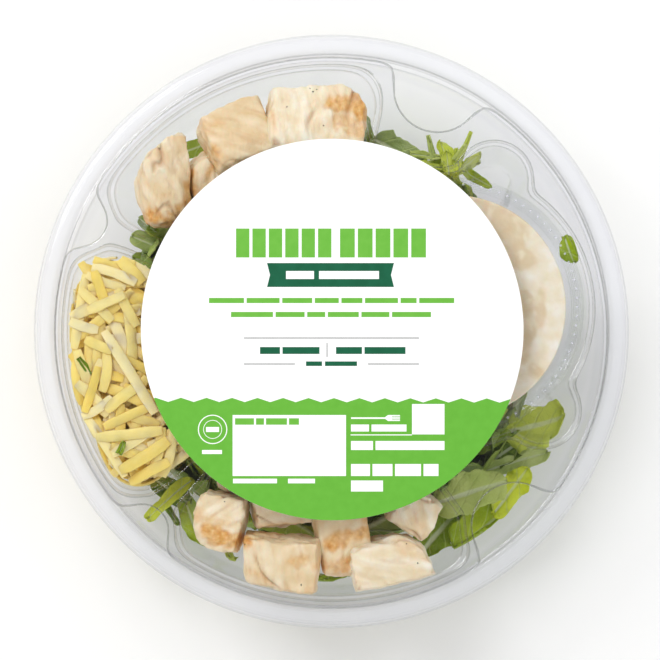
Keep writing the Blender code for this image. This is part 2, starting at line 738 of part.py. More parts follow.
def leaf(number, middle, size, turns, material):
    """One cut leaf: a ruffled blade, folded a little along its rib."""
    rows, columns = 6, 3
    grid = np.zeros((rows, columns, 3))
    heading, pitch, roll = (math.radians(t) for t in turns)
    lie = Euler((roll, -pitch, heading)).to_matrix()
    for i in range(rows):
        for j in range(columns):
            u, v = i / (rows - 1) - 0.5, j / (columns - 1) - 0.5
            taper = 1.0 - 0.55 * abs(2 * u) ** 2.2
            ruffle = noise.noise(Vector((number * 3.1, 2.4 * u, 2.1 * v)))
            curl = (4.0 * abs(v) ** 1.5 + 5.0 * ruffle - 2.5 * u * u) * MM
            flat = Vector((u * size[0] * MM, v * size[1] * taper * MM, curl))
            grid[i, j] = lie @ flat + Vector(middle) * MM
    return sheet_solid(f"leaf_{number:02d}", grid, LEAF_THICKNESS, material)


def bowl_room(material):
    """A helper solid: the room inside the bowl under the tray, kept a little clear of both."""
    clear = 0.8 * MM
    heights = [3.0 * MM, 4.0 * MM, 12.0 * MM, 39.0 * MM, 41.0 * MM, DECK - TRAY_WALL - clear]
    wall = [(float(bowl_radius(height)) - clear, height) for height in heights]
    made = lathe("bowl_room", [(0.0, heights[0]), *wall, (0.0, heights[-1])], material)
    made.hide_render = True
    made.display_type = "WIRE"
    return made


def well_clearance(name, material):
    """A helper solid: the space that a well takes up, with room round it, to cut from what lies below."""
    room = TRAY_WALL + 1.5 * MM
    rings = [
        (-9.0 * MM, well_ring(name, 0.0, -room)),
        (0.0, well_ring(name, 0.0, -room)),
        (WELL_DEPTH - FLOOR_ROUND, well_ring(name, WELL_DEPTH - FLOOR_ROUND, 0.5 * MM - room)),
        (WELL_DEPTH + room, well_ring(name, WELL_DEPTH, 0.5 * MM + FLOOR_ROUND - room)),
    ]
    points, faces, rows = [], [], []
    for depth, ring in rings:
        rows.append(list(range(len(points), len(points) + len(ring))))
        points.extend((x, y, DECK - depth) for x, y in ring)
    for high, low in zip(rows, rows[1:]):
        for k, here in enumerate(high):
            nxt = (k + 1) % len(high)
            faces.append((low[k], low[nxt], high[nxt], here))
    faces.append(tuple(rows[0]))
    faces.append(tuple(reversed(rows[-1])))
    made = solid(name + "_clearance", points, faces, material)
    made.hide_render = True
    made.display_type = "WIRE"
    return made


def main():
    clear_scene()
    clear = finish("clear_plastic", (0.92, 0.94, 0.93), 0.08, alpha=0.3)
    paper = finish("label_paper", (0.96, 0.96, 0.95), 0.45)
    cream = finish("creamy_dressing", (0.86, 0.74, 0.55), 0.3)
    meat = finish("grilled_chicken", (0.85, 0.63, 0.42), 0.5)
    hard_cheese = finish("shredded_cheese", (0.90, 0.70, 0.29), 0.45)
    green = finish("romaine", (0.24, 0.37, 0.05), 0.4)
    build_bowl(clear)
    build_tray(clear)
    build_lid(clear)
    build_label(paper)
    build_cup(clear)
    build_dressing(cream)
    build_seal(clear)
    build_chicken(meat)
    build_cheese(hard_cheese)
    build_lettuce(green, [well_clearance(name, clear) for name in WELLS], bowl_room(clear))


main()
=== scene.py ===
# %% [markdown]
# A chicken caesar salad in its pack, dressed for a photograph from above.
#
# The real thing is a clear round bowl of cut romaine. A clear tray hangs in the bowl's rim, with wells for
# diced chicken, cheese shreds and a cup of dressing, and a clear lid with a paper label snaps over it all.
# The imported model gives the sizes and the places. This script gives every surface its looks.

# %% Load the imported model

import math
import random

import bmesh
import bpy
import numpy as np
from mathutils import Euler, Matrix, Vector, noise
from mathutils.geometry import delaunay_2d_cdt


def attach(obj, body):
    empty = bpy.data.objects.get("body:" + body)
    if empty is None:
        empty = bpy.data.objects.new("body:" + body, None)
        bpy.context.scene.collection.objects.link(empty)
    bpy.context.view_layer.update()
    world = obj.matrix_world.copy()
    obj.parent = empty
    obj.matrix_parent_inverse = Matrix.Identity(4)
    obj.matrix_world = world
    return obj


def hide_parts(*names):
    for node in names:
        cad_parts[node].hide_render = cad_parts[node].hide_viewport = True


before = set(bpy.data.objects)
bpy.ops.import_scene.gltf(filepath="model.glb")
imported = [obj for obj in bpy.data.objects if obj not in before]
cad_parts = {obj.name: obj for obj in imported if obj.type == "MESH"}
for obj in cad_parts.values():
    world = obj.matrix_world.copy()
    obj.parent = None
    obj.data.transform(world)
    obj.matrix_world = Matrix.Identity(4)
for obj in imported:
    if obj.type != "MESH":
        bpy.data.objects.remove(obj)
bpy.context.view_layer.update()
MM = 0.001
print("CAD nodes:", len(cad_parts))

# %% [markdown]
# A few small helpers carry the whole script. Colours are written as the sRGB hex a painter would pick, and
# Blender wants linear light, so one function converts them. One function adds any node, with its settings
# and its links, so a material reads as a list of what goes into what.

# %% Colour and node helpers

PREFIX = {"ShaderNodeTree": "ShaderNode", "GeometryNodeTree": "GeometryNode"}


def paint(code, alpha=1.0):
    """Linear RGBA of an sRGB hex colour such as "#E9D9B8"."""
    parts = [int(code[k:k + 2], 16) / 255 for k in (1, 3, 5)]
    light = [c / 12.92 if c <= 0.04045 else ((c + 0.055) / 1.055) ** 2.4 for c in parts]
    return (*light, alpha)


def add(tree, kind, settings=None, **inputs):
    """Adds a node, sets its properties, and sets or links its inputs by name, or by place as i0, i1.

    A node given as an input is linked from its first working output. "stops" fills a colour ramp.
    """
    node = tree.nodes.new(kind if "Node" in kind else PREFIX[tree.bl_idname] + kind)
    for key, value in (settings or {}).items():
        if key == "stops":
            while len(node.color_ramp.elements) < len(value):
                node.color_ramp.elements.new(1.0)
            for element, (place, code) in zip(node.color_ramp.elements, value):
                element.position, element.color = place, paint(code)
        else:
            setattr(node, key, value)
    for key, value in inputs.items():
        by_place = key[0] == "i" and key[1:].isdigit()
        socket = node.inputs[int(key[1:]) if by_place else key.replace("_", " ")]
        if isinstance(value, bpy.types.Node):
            value = next(output for output in value.outputs if output.enabled)
        if isinstance(value, bpy.types.NodeSocket):
            tree.links.new(value, socket)
        else:
            socket.default_value = paint(value) if str(value)[0] == "#" else value
    return node


def new_material(name):
    """A material with an empty node tree, and the tree."""
    made = bpy.data.materials.new(name)
    made.use_nodes = True
    made.node_tree.nodes.clear()
    print("material:", name)
    return made, made.node_tree


def per_mm(size):
    """The texture scale that gives features about that many millimetres across."""
    return 1.0 / (size * MM)


RGBA = {"data_type": "RGBA"}


# %% [markdown]
# Every piece is built as plain points and faces, in the pack's own place, and then rides on the pack's one
# body.

# %% Piece helpers


def piece(name, points, faces, materials, smooth=True):
    """A mesh object at the origin from points and faces, with its normals turned outward."""
    mesh = bpy.data.meshes.new(name)
    mesh.from_pydata([tuple(map(float, p)) for p in points], [], [tuple(map(int, f)) for f in faces])
    for material in materials:
        mesh.materials.append(material)
    form = bmesh.new()
    form.from_mesh(mesh)
    bmesh.ops.recalc_face_normals(form, faces=form.faces[:])
    form.to_mesh(mesh)
    form.free()
    if smooth:
        mesh.shade_smooth()
    made = bpy.data.objects.new(name, mesh)
    bpy.context.scene.collection.objects.link(made)
    return made


def settle(made, slot, *nodes):
    """Rides a finished piece on the one body and lets it stand for those CAD nodes. The slot is not used."""
    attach(made, "root")
    if nodes:
        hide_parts(*nodes)
    print(made.name, "has", len(made.data.polygons), "faces")


def give(made, name, values, per="POINT"):
    """Stores one number, or one vector, for each vertex or face under that name."""
    values = np.asarray(values, dtype=np.float32)
    kind, field = ("FLOAT", "value") if values.ndim == 1 else ("FLOAT_VECTOR", "vector")
    made.data.attributes.new(name, kind, per).data.foreach_set(field, values.ravel())


def baked(made):
    """Turns what an object's modifiers make into its plain mesh."""
    bpy.context.view_layer.update()
    seen = made.evaluated_get(bpy.context.evaluated_depsgraph_get())
    made.data = bpy.data.meshes.new_from_object(seen)
    made.modifiers.clear()
    return made


# %% [markdown]
# The camera hangs almost straight above, five degrees off the vertical, with a very long lens: the rim's
# far side is as wide in the picture as its near side. The rim is 178 mm across and fills 596 of 660
# pixels, which fixes the lens. It leans a little to the left too, since deeper rings sit lower and left.

# %% The camera

PICTURE = 660
PIXEL = 178.0 * MM / 596
RIM_HEIGHT = 55.0 * MM
DISTANCE = 2.6
aim = Vector((-2 * PIXEL, 0.0, RIM_HEIGHT))
toward = Vector((-math.tan(math.radians(1.6)), -math.tan(math.radians(4.7)), 1.0)).normalized()
lens = bpy.data.cameras.new("camera")
lens.sensor_width = 36.0
lens.lens = lens.sensor_width * DISTANCE / (PICTURE * PIXEL)
lens.clip_end = 20.0
camera = bpy.data.objects.new("camera", lens)
camera.location = aim + toward * DISTANCE
rightward = Vector((0.0, 1.0, 0.0)).cross(toward).normalized()
turned_to = Matrix((rightward, toward.cross(rightward), toward)).transposed()
camera.rotation_euler = turned_to.to_euler()
bpy.context.scene.collection.objects.link(camera)
bpy.context.scene.camera = camera
print("lens", round(lens.lens, 1), "mm")


def picture_place(px, py, height):
    """The (x, y) in metres that a pixel of the picture shows at that height."""
    spread = lens.sensor_width / lens.lens / PICTURE
    ray = turned_to @ Vector(((px - PICTURE / 2) * spread, (PICTURE / 2 - py) * spread, -1.0))
    place = camera.location + ray * ((height - camera.location.z) / ray.z)
    return place.x, place.y


# %% [markdown]
# The studio is a white floor under a wide soft lamp from the upper left, with white light from all round.
# A pale floor shows every clear edge as a fine grey line. The lamp is as wide as it is because the shadow's
# soft edge, at the lower right, is about a third as wide as the pack is high.

# %% The floor and the light

# Matt white board: even and bright, with no shine of its own.
paper_floor, tree = new_material("studio_floor_paint")
place = add(tree, "TexCoord").outputs["Object"]
faint = add(tree, "TexNoise", Vector=place, Scale=per_mm(40.0), Detail=2.0)
shade = add(tree, "ValToRGB", {"stops": ((0.3, "#FBFBFB"), (0.7, "#FDFDFD"))}, Fac=faint)
coat = add(tree, "BsdfPrincipled", Base_Color=shade, Roughness=0.9)
add(tree, "OutputMaterial", Surface=coat)
FLOOR_HALF = 3.0
corners = [(x, y, 0.0) for x, y in ((-1, -1), (1, -1), (1, 1), (-1, 1))]
floor = piece("studio_floor", [Vector(c) * FLOOR_HALF for c in corners], [(0, 1, 2, 3)], [paper_floor], False)


def soft_lamp(name, place, wide, power):
    """A square lamp that faces the pack."""
    lamp = bpy.data.lights.new(name, "AREA")
    lamp.energy = power
    lamp.size = wide
    holder = bpy.data.objects.new(name, lamp)
    holder.location = place
    holder.rotation_euler = (Vector((0.0, 0.0, 0.03)) - Vector(place)).to_track_quat("-Z", "Y").to_euler()
    bpy.context.scene.collection.objects.link(holder)


soft_lamp("key_lamp", (-0.42, 0.46, 0.95), 0.42, 4.6)
soft_lamp("fill_lamp", (0.7, -0.9, 1.0), 1.2, 1.5)
world = bpy.data.worlds.new("studio_air")
world.use_nodes = True
air = world.node_tree.nodes["Background"]
mirrored = add(world.node_tree, "LightPath").outputs["Is Glossy Ray"]
room = add(world.node_tree, "Mix", {"data_type": "RGBA"}, i0=mirrored, i6="#FFFFFF", i7="#8C8C8C")
world.node_tree.links.new(room.outputs[2], air.inputs["Color"])
air.inputs["Strength"].default_value = 0.8
bpy.context.scene.world = world
bpy.context.scene.view_settings.view_transform = "Standard"
bpy.context.scene.cycles.transparent_max_bounces = 40

# %% [markdown]
# PET sheet is so thin and clear that only its bends and steep walls show. A true glass shader would bend light
# through a dozen walls and take minutes to clear of noise. Here light passes straight through, and a number
# on each face says how sharply the sheet is bent there: a bend throws light aside like a tiny lens, so it is
# drawn as a fine grey line of painted shade. Steep walls are greyer too, partly from the sheet's own tint over
# a longer path and partly as painted shade for the dark room they mirror edge-on. A weak mirror, stronger
# edge-on, adds the lamp's highlights.

# %% Clear PET: the material

BASE_MIRROR, EDGE_MIRROR, BEND_MIRROR = 0.012, 0.25, 0.16
SHADOW_WHITE = 0.7


def clear_sheet(name, wall_tint_and_shade, bend_shade, sharpness=6.0, bend_share=0.5, roughness=0.05):
    """Clear plastic, greyer edge-on (its tint and painted shade), with painted grey shade where it is bent."""
    made, tree = new_material(name)
    facing = add(tree, "LayerWeight", Blend=0.5).outputs["Facing"]
    steep = add(tree, "Math", {"operation": "POWER"}, i0=facing, i1=sharpness)
    # Edge-on grey: partly the sheet's own tint, partly painted shade for the dark room mirrored there.
    tint = add(tree, "Mix", RGBA, i0=steep, i6="#FEFEFF", i7=wall_tint_and_shade)
    # Bend grey: painted shade, a fine line where a real bend would throw light aside.
    bend = add(tree, "Attribute", {"attribute_name": "bend"}).outputs["Fac"]
    share = add(tree, "Math", {"operation": "MULTIPLY"}, i0=bend, i1=bend_share)
    tint = add(tree, "Mix", RGBA, i0=share, i6=tint, i7=bend_shade)
    shadow = add(tree, "LightPath").outputs["Is Shadow Ray"]
    lit = add(tree, "Math", {"operation": "MULTIPLY"}, i0=shadow, i1=SHADOW_WHITE)
    tint = add(tree, "Mix", RGBA, i0=lit, i6=tint, i7="#FFFFFF")
    through = add(tree, "BsdfTransparent", Color=tint)
    mirror = add(tree, "BsdfGlossy", Color="#FFFFFF", Roughness=roughness)
    edge_on = add(tree, "Math", {"operation": "POWER"}, i0=facing, i1=5.0)
    flat = add(tree, "Math", {"operation": "MULTIPLY_ADD"}, i0=edge_on, i1=EDGE_MIRROR, i2=BASE_MIRROR)
    amount = add(tree, "Math", {"operation": "MULTIPLY_ADD"}, i0=bend, i1=BEND_MIRROR, i2=flat)
    clear = add(tree, "MixShader", Fac=amount, i1=through, i2=mirror)
    # A white diffuse share: milky haze in the outer band, and a painted glint on the sealing pips.
    milk = add(tree, "Attribute", {"attribute_name": "milk"}).outputs["Fac"]
    haze = add(tree, "BsdfDiffuse", Color="#F6F8FC")
    add(tree, "OutputMaterial", Surface=add(tree, "MixShader", Fac=milk, i1=clear, i2=haze))
    return made


# %% [markdown]
# Each sheet gets its own greys: one where it stands edge-on, partly tint and partly painted shade, and one of
# painted shade where it is bent. The bowl and the lid are thin and almost neutral. The tray is a little
# greener, and the cup is the thickest and greenest.

# %% Clear PET: the sheets

# Vacuum-formed PET: all but invisible face-on, grey-green edge-on, with hard small highlights. The edge-on
# grey is partly the sheet's tint and partly painted shade.
bowl_pet = clear_sheet("bowl_clear_pet", "#F0F1F4", "#CCCDD0", 8.0, 0.35)
tray_pet = clear_sheet("tray_clear_pet", "#E7EAE9", "#BCBFBC", bend_share=0.42)
lid_pet = clear_sheet("lid_clear_pet", "#F2F2F5", "#C5C6C8", 10.0, 0.35)
# Thicker polypropylene: greener, and its wall shows more.
cup_pet = clear_sheet("cup_clear_pp", "#EDF3DC", "#C6D3AC", 9.0, 0.42)

# %% [markdown]
# Two things are read off each face of a sheet. One is how sharply it is bent. The other is whether it lies in
# the outer band, where the lid's flange rests on the bowl's lip: that band has no fine lines, and is a
# little milky because two stamped sheets lie on each other there. Its very edge gets a thin dark line of
# painted shade.

# %% How sharply a sheet is bent

SMOOTH_BAND, OUTER_EDGE = 83.3 * MM, 88.4 * MM
# The band's faint grey and its edge's dark line are painted shade, carried as bend values.
BAND_LINE_SHADE, EDGE_LINE_SHADE, BAND_MILK = 0.02, 0.5, 0.09


def mark_bends(made, gentle=0.9, sharp=2.2, outer_band=False):
    """Stores each face's bend from 0 to 1, by its turn for each millimetre, with its own rule in the band."""
    form = bmesh.new()
    form.from_mesh(made.data)
    turns, milk = [], []
    for face in form.faces:
        angles = sorted(abs(edge.calc_face_angle(0.0)) for edge in face.edges)
        width = face.calc_area() / max(edge.calc_length() for edge in face.edges) / MM
        rate = (angles[-1] + angles[-2]) / 2 / max(width, 0.02)
        bend = min(1.0, max(0.0, (rate - gentle) / (sharp - gentle))) if width < 1.2 else 0.0
        away = face.calc_center_median().xy.length
        in_band = outer_band and away > SMOOTH_BAND
        if in_band:
            # Painted shade: faint over the band, a dark line at its very edge.
            bend = BAND_LINE_SHADE if away < OUTER_EDGE else EDGE_LINE_SHADE
        turns.append(bend)
        milk.append(BAND_MILK if in_band else 0.0)
    form.free()
    give(made, "bend", turns, "FACE")
    give(made, "milk", milk, "FACE")


# %% [markdown]
# The bowl, the lid and the cup are drawn by a vacuum former over round tools, so each is a turned form. Its
# wall is one path from the middle to the rim. Every bend gets a small radius, since hot sheet can't take
# a sharp corner, and the path is then thickened to both sides and turned about its axis.

# %% Turned shells


def rounded(path, reach, parts=4):
    """The path with its corners swapped for short curves. A point's third value is its own reach."""
    reaches = [p[2] if len(p) > 2 else reach for p in path]
    path = [Vector(p[:2]) for p in path]
    made = [path[0]]
    for before, corner, after, reach in zip(path, path[1:], path[2:], reaches[1:]):
        near = min(reach, (before - corner).length / 2.05)
        far = min(reach, (after - corner).length / 2.05)
        start = corner + (before - corner).normalized() * near
        end = corner + (after - corner).normalized() * far
        for k in range(parts + 1):
            t = k / parts
            made.append(start * (1 - t) ** 2 + corner * 2 * t * (1 - t) + end * t * t)
    return made + [path[-1]]


def thickened(path, wall):
    """A closed outline: the path moved half a wall to each side."""
    sides = []
    for k, point in enumerate(path):
        along = (path[min(k + 1, len(path) - 1)] - path[max(k - 1, 0)]).normalized()
        sides.append(Vector((-along.y, along.x)) * wall / 2)
    upper = [p + s for p, s in zip(path, sides)]
    lower = [p - s for p, s in zip(path, sides)]
    for line in (upper, lower):
        if line[0].x < wall:
            line[0].x = 0.0
    return lower + upper[::-1]


def lathe(name, outline, material, centre=(0.0, 0.0), steps=240, swell=None):
    """Turns a closed outline of (radius, height) in metres. A point at radius 0 becomes a pole."""
    points, rings, faces = [], [], []
    for radius, height in outline:
        ring = []
        for step in range(steps if radius > 1e-7 else 1):
            turn = 2 * math.pi * step / steps
            x, y = centre[0] + radius * math.cos(turn), centre[1] + radius * math.sin(turn)
            ring.append(len(points))
            points.append((x, y, height + (swell(x, y) if swell else 0.0)))
        rings.append(ring)
    for ring, after in zip(rings, rings[1:] + rings[:1]):
        if len(ring) == 1 and len(after) == 1:
            continue
        for step in range(steps):
            nxt = (step + 1) % steps
            if len(ring) == 1:
                faces.append((ring[0], after[nxt], after[step]))
            elif len(after) == 1:
                faces.append((ring[step], ring[nxt], after[0]))
            else:
                faces.append((ring[step], ring[nxt], after[nxt], after[step]))
    return piece(name, points, faces, [material])


def turned(name, path_mm, reach_mm, wall_mm, material, centre=(0.0, 0.0), steps=240):
    """A shell of that wall along a path given in millimetres."""
    path = [tuple(value * MM for value in p) for p in path_mm]
    return lathe(name, thickened(rounded(path, reach_mm * MM), wall_mm * MM), material, centre, steps)


# %% [markdown]
# The bowl's foot is a small ring, so that it stands steady, and its floor is raised inside it. The wall leans
# out so that bowls nest. Near the top it steps out to carry the tray, and ends in a rolled lip.

# %% The bowl

BOWL_PATH = (
    (0.0, 1.5), (20.0, 1.5), (50.4, 1.5, 2.0), (52.9, 0.3, 1.5), (57.0, 0.3, 1.5), (60.6, 1.2, 2.0),
    (64.3, 4.1, 2.0), (78.2, 34.6), (79.7, 36.0), (81.5, 46.4), (83.4, 46.4), (84.2, 54.9), (86.8, 54.9, 1.2),
    (87.8, 53.8, 1.0), (87.85, 52.7),
)
bowl = turned("bowl_shell", BOWL_PATH, 0.45, 0.5, bowl_pet)
mark_bends(bowl, outer_band=True)
settle(bowl, "clear_plastic", "bowl")

# %% [markdown]
# The lid is flat, with a bend just inside the rim and a low skirt that snaps over the bowl's lip. It is
# thinner than the bowl, since it carries nothing.

# %% The lid

LID_PATH = (
    (0.0, 57.15), (30.0, 57.15), (82.6, 57.1), (82.8, 55.9), (87.4, 55.9, 1.2), (88.6, 54.8, 1.4),
    (88.75, 51.5),
)
lid = turned("lid_shell", LID_PATH, 0.25, 0.45, lid_pet)
mark_bends(lid, outer_band=True)
settle(lid, "clear_plastic", "lid")

# %% [markdown]
# The tray is the hard one: a flat deck with four finger notches, three wedge-shaped wells and a round well
# with two finger lobes. Each outline is a distance worked out from lines and circles and blended where
# they meet, so one function answers for every well at every depth, and the food can use it to stay inside.

# %% Where the tray's walls are

DECK = 47.5 * MM
TRAY_WALL = 0.45 * MM
TRAY_RADIUS = 83.0 * MM
WELL_DEPTH = 18.0 * MM
WELL_REACH = 81.0 * MM
RIM_LEAN = 0.30
SIDE_LEAN = 0.25
CORNER_BLEND = 15.0 * MM
HUB_RADIUS = 31.0 * MM
BRIDGE = 4.0 * MM
WEDGES = {"upper_chicken": (77.3, 153.0), "cheese": (158.0, 223.0), "lower_chicken": (228.5, 306.0)}
NOTCHES = (
    (66.5, 13.0 * MM, 80.2 * MM),
    (156.0, 7.5 * MM, 82.0 * MM),
    (226.5, 7.5 * MM, 82.0 * MM),
    (313.5, 13.0 * MM, 80.2 * MM),
)
NOTCH_BLEND = 6.0 * MM
DECK_LIP = 2.2 * MM
CUP_CENTRE = Vector((36.7 * MM, 7.5 * MM))
CUP_WELL_RADIUS = 42.2 * MM
LOBE_RADIUS = 11.6 * MM
LOBE_OUT = 40.5 * MM
LOBE_SPREAD = math.radians(60.8)
WELLS = (*WEDGES, "dressing")


def smooth_max(a, b, blend):
    return np.maximum(a, b) + np.maximum(blend - np.abs(a - b), 0.0) ** 2 / (4 * blend)


def tray_edge(x, y):
    """How far a point lies outside the tray's notched edge."""
    edge = np.hypot(x, y) - TRAY_RADIUS
    for turn, radius, out in NOTCHES:
        cx, cy = out * math.cos(math.radians(turn)), out * math.sin(math.radians(turn))
        edge = smooth_max(edge, radius - np.hypot(x - cx, y - cy), NOTCH_BLEND)
    return edge


def wedge_edge(name, x, y, depth):
    """How far a point lies outside a wedge-shaped well, at a depth under the deck."""
    start, end = (math.radians(turn) for turn in WEDGES[name])
    out = np.hypot(x, y)
    from_cup = np.hypot(x - CUP_CENTRE.x, y - CUP_CENTRE.y)
    rim = out - (WELL_REACH - RIM_LEAN * depth)
    first = math.sin(start) * x - math.cos(start) * y
    last = math.cos(end) * y - math.sin(end) * x
    hub = smooth_max(HUB_RADIUS - out, CUP_WELL_RADIUS + BRIDGE - from_cup, CORNER_BLEND / 3)
    sides = smooth_max(smooth_max(first, last, CORNER_BLEND / 3), hub, CORNER_BLEND / 2)
    walls = smooth_max(rim, sides + SIDE_LEAN * depth, CORNER_BLEND)
    return smooth_max(walls, tray_edge(x, y) + DECK_LIP, 2.0 * MM)


def cup_edge(x, y, depth):
    """The same for the round well of the cup with its two lobes."""
    edge = np.hypot(x - CUP_CENTRE.x, y - CUP_CENTRE.y) - (CUP_WELL_RADIUS - RIM_LEAN * depth)
    axis = math.atan2(CUP_CENTRE.y, CUP_CENTRE.x)
    for turn in (axis + LOBE_SPREAD, axis - LOBE_SPREAD):
        lobe = CUP_CENTRE + Vector((math.cos(turn), math.sin(turn))) * LOBE_OUT
        near = np.hypot(x - lobe.x, y - lobe.y) - (LOBE_RADIUS - SIDE_LEAN * depth)
        edge = -smooth_max(-edge, -near, 3.0 * MM)
    edge = smooth_max(edge, np.hypot(x, y) - (WELL_REACH + 0.3 * MM - RIM_LEAN * depth), 1.5 * MM)
    return smooth_max(edge, tray_edge(x, y) + DECK_LIP, 2.0 * MM)


def well_edge(name, x, y, depth):
    return cup_edge(x, y, depth) if name == "dressing" else wedge_edge(name, x, y, depth)


def well_centre(name):
    if name == "dressing":
        return CUP_CENTRE
    turn = math.radians(sum(WEDGES[name]) / 2)
    return Vector((math.cos(turn), math.sin(turn))) * 58.0 * MM


def outline_of(edge, centre, level, count, reach=92.0 * MM):
    """count points round centre, each the first on its way out where edge(x, y) rises past level."""
    turns = np.linspace(0, 2 * math.pi, count, endpoint=False)
    ways = np.stack([np.cos(turns), np.sin(turns)], axis=1)
    out = np.linspace(0, reach, 400)
    past = edge(centre[0] + ways[:, :1] * out, centre[1] + ways[:, 1:] * out) > level
    first = np.maximum(past.argmax(axis=1), 1)
    low, high = out[first - 1], out[first]
    for _ in range(20):
        mid = (low + high) / 2
        beyond = edge(centre[0] + ways[:, 0] * mid, centre[1] + ways[:, 1] * mid) > level
        low, high = np.where(beyond, low, mid), np.where(beyond, mid, high)
    return np.array(centre[:2]) + ways * low[:, None]


# %% [markdown]
# The deck is flat, so it is filled with triangles between its rim and the mouths of the wells. Round each
# mouth runs a low step, which is the fine double line that the wells show from above. Below it the wall
# leans in, and a soft bend leads to the floor. The sheet is one surface, and Solidify gives it its wall.

# %% Down a well's wall

FLOOR_BEND = 2.2 * MM
RIM_POINTS = 360
WELL_POINTS = 180
WALL_INSET = 1.45 * MM
# (depth, inset) in mm down the low step round a well's mouth
STEP = (
    (0.0, -0.45), (0.0, -0.12), (0.1, 0.0), (0.45, 0.06), (0.8, 0.12), (0.9, 0.24), (0.9, 0.6), (0.9, 1.05),
    (0.96, 1.26), (1.1, 1.38), (1.35, 1.45),
)


def wall_levels():
    """(depth, inset) down a well from the flat deck to its flat floor."""
    levels = [(depth * MM, inset * MM) for depth, inset in STEP]
    levels += [(depth, WALL_INSET) for depth in np.linspace(3.0 * MM, WELL_DEPTH - FLOOR_BEND, 6)]
    for t in np.linspace(0, math.pi / 2, 7)[1:]:
        up, along = FLOOR_BEND * (1 - math.sin(t)), FLOOR_BEND * (1 - math.cos(t))
        levels.append((WELL_DEPTH - up, WALL_INSET + along))
    return levels + [(WELL_DEPTH, WALL_INSET + FLOOR_BEND + 0.4 * MM)]


def encloses(ring, x, y):
    """Whether a closed ring of points goes round x, y."""
    ahead = np.roll(ring, -1, axis=0)
    spans = (ring[:, 1] > y) != (ahead[:, 1] > y)
    here, nxt = ring[spans], ahead[spans]
    cross = here[:, 0] + (nxt[:, 0] - here[:, 0]) * (y - here[:, 1]) / (nxt[:, 1] - here[:, 1])
    return (cross > x).sum() % 2 == 1


def closed_edges(first, count):
    """The edges of a closed ring of count points, from the point with that number on."""
    return [(first + k, first + (k + 1) % count) for k in range(count)]


# %% [markdown]
# The sheet's upper surface is built from rings of points: three round the rolled rim, and a stack of them
# down each well. Rings that follow each other are stitched with quads. What is left is the flat deck
# between the rim and the mouths, which a constrained Delaunay triangulation fills.

# %% The tray's sheet


def ring_at(points, ring, height):
    """Adds a ring of (x, y) places at that height, and returns its points' numbers."""
    first = len(points)
    points.extend((x, y, height) for x, y in ring)
    return list(range(first, len(points)))


def stitched(upper, lower):
    """The quads between two rings of points."""
    ahead = zip(upper[1:] + upper[:1], lower[1:] + lower[:1])
    return [(here, nxt, low_nxt, low) for here, low, (nxt, low_nxt) in zip(upper, lower, ahead)]


def deck_faces(points, loops):
    """Triangles that fill the deck inside the first loop and outside the others."""
    rings = [np.array([points[k][:2] for k in loop]) for loop in loops]
    used = [k for loop in loops for k in loop]
    edges = []
    for loop in loops:
        edges += closed_edges(len(edges), len(loop))
    flat = [Vector(points[k][:2]) for k in used]
    places, _, triangles, origins, _, _ = delaunay_2d_cdt(flat, edges, [], 0, 1e-7)
    faces = []
    for triangle in triangles:
        middle = sum((places[k] for k in triangle), Vector((0.0, 0.0))) / 3
        if [encloses(ring, middle.x, middle.y) for ring in rings] == [True] + [False] * len(WELLS):
            faces.append(tuple(used[origins[k][0]] for k in triangle))
    return faces


def tray_sheet():
    """The tray's upper surface as points and faces."""
    points, faces = [], []
    rim = [
        ring_at(points, outline_of(tray_edge, (0, 0), -inset * MM, RIM_POINTS), DECK - drop * MM)
        for inset, drop in ((0.0, 0.35), (0.15, 0.05), (0.5, 0.0))
    ]
    stacks = [rim]
    for name in WELLS:
        stack = []
        for depth, inset in wall_levels():
            ring = outline_of(lambda x, y: well_edge(name, x, y, depth), well_centre(name), -inset, WELL_POINTS)
            stack.append(ring_at(points, ring, DECK - depth))
        stacks.append(stack)
    for stack in stacks:
        for upper, lower in zip(stack, stack[1:]):
            faces += stitched(upper, lower)
        if stack is not rim:
            faces.append(tuple(stack[-1]))
    return points, faces + deck_faces(points, [rim[-1]] + [stack[0] for stack in stacks[1:]])


# %% [markdown]
# Solidify thickens the surface downward into a sheet, so its faces have to look up first. An open surface
# has no inside to tell them by, so the script looks at two faces and flips them all if they look down.

# %% The tray

tray = piece("tray_shell", *tray_sheet(), [tray_pet])
if tray.data.polygons[0].normal.z < 0 and tray.data.polygons[-1].normal.z < 0:
    tray.data.flip_normals()
wall = tray.modifiers.new("wall", "SOLIDIFY")
wall.thickness = TRAY_WALL
wall.offset = -1.0
wall.use_even_offset = True
baked(tray)
mark_bends(tray)
settle(tray, "clear_plastic", "tray")

# %% [markdown]
# Geometry Nodes do the work wherever one small thing repeats or follows a line: sealing pips, cheese
# shreds and flecks of pepper. Two helpers keep those trees short. The finished geometry is turned into a
# plain mesh, so nothing is left to compute at render time.

# %% Geometry Nodes helpers


def node_group(name, **numbers):
    """A Geometry Nodes tree with geometry in and out, a named input for each number, and its input node."""
    tree = bpy.data.node_groups.new(name, "GeometryNodeTree")
    tree.interface.new_socket("Geometry", in_out="INPUT", socket_type="NodeSocketGeometry")
    tree.interface.new_socket("Geometry", in_out="OUTPUT", socket_type="NodeSocketGeometry")
    for key, value in numbers.items():
        kind = "NodeSocketInt" if isinstance(value, int) else "NodeSocketFloat"
        tree.interface.new_socket(key, in_out="INPUT", socket_type=kind)
    return tree, add(tree, "NodeGroupInput").outputs


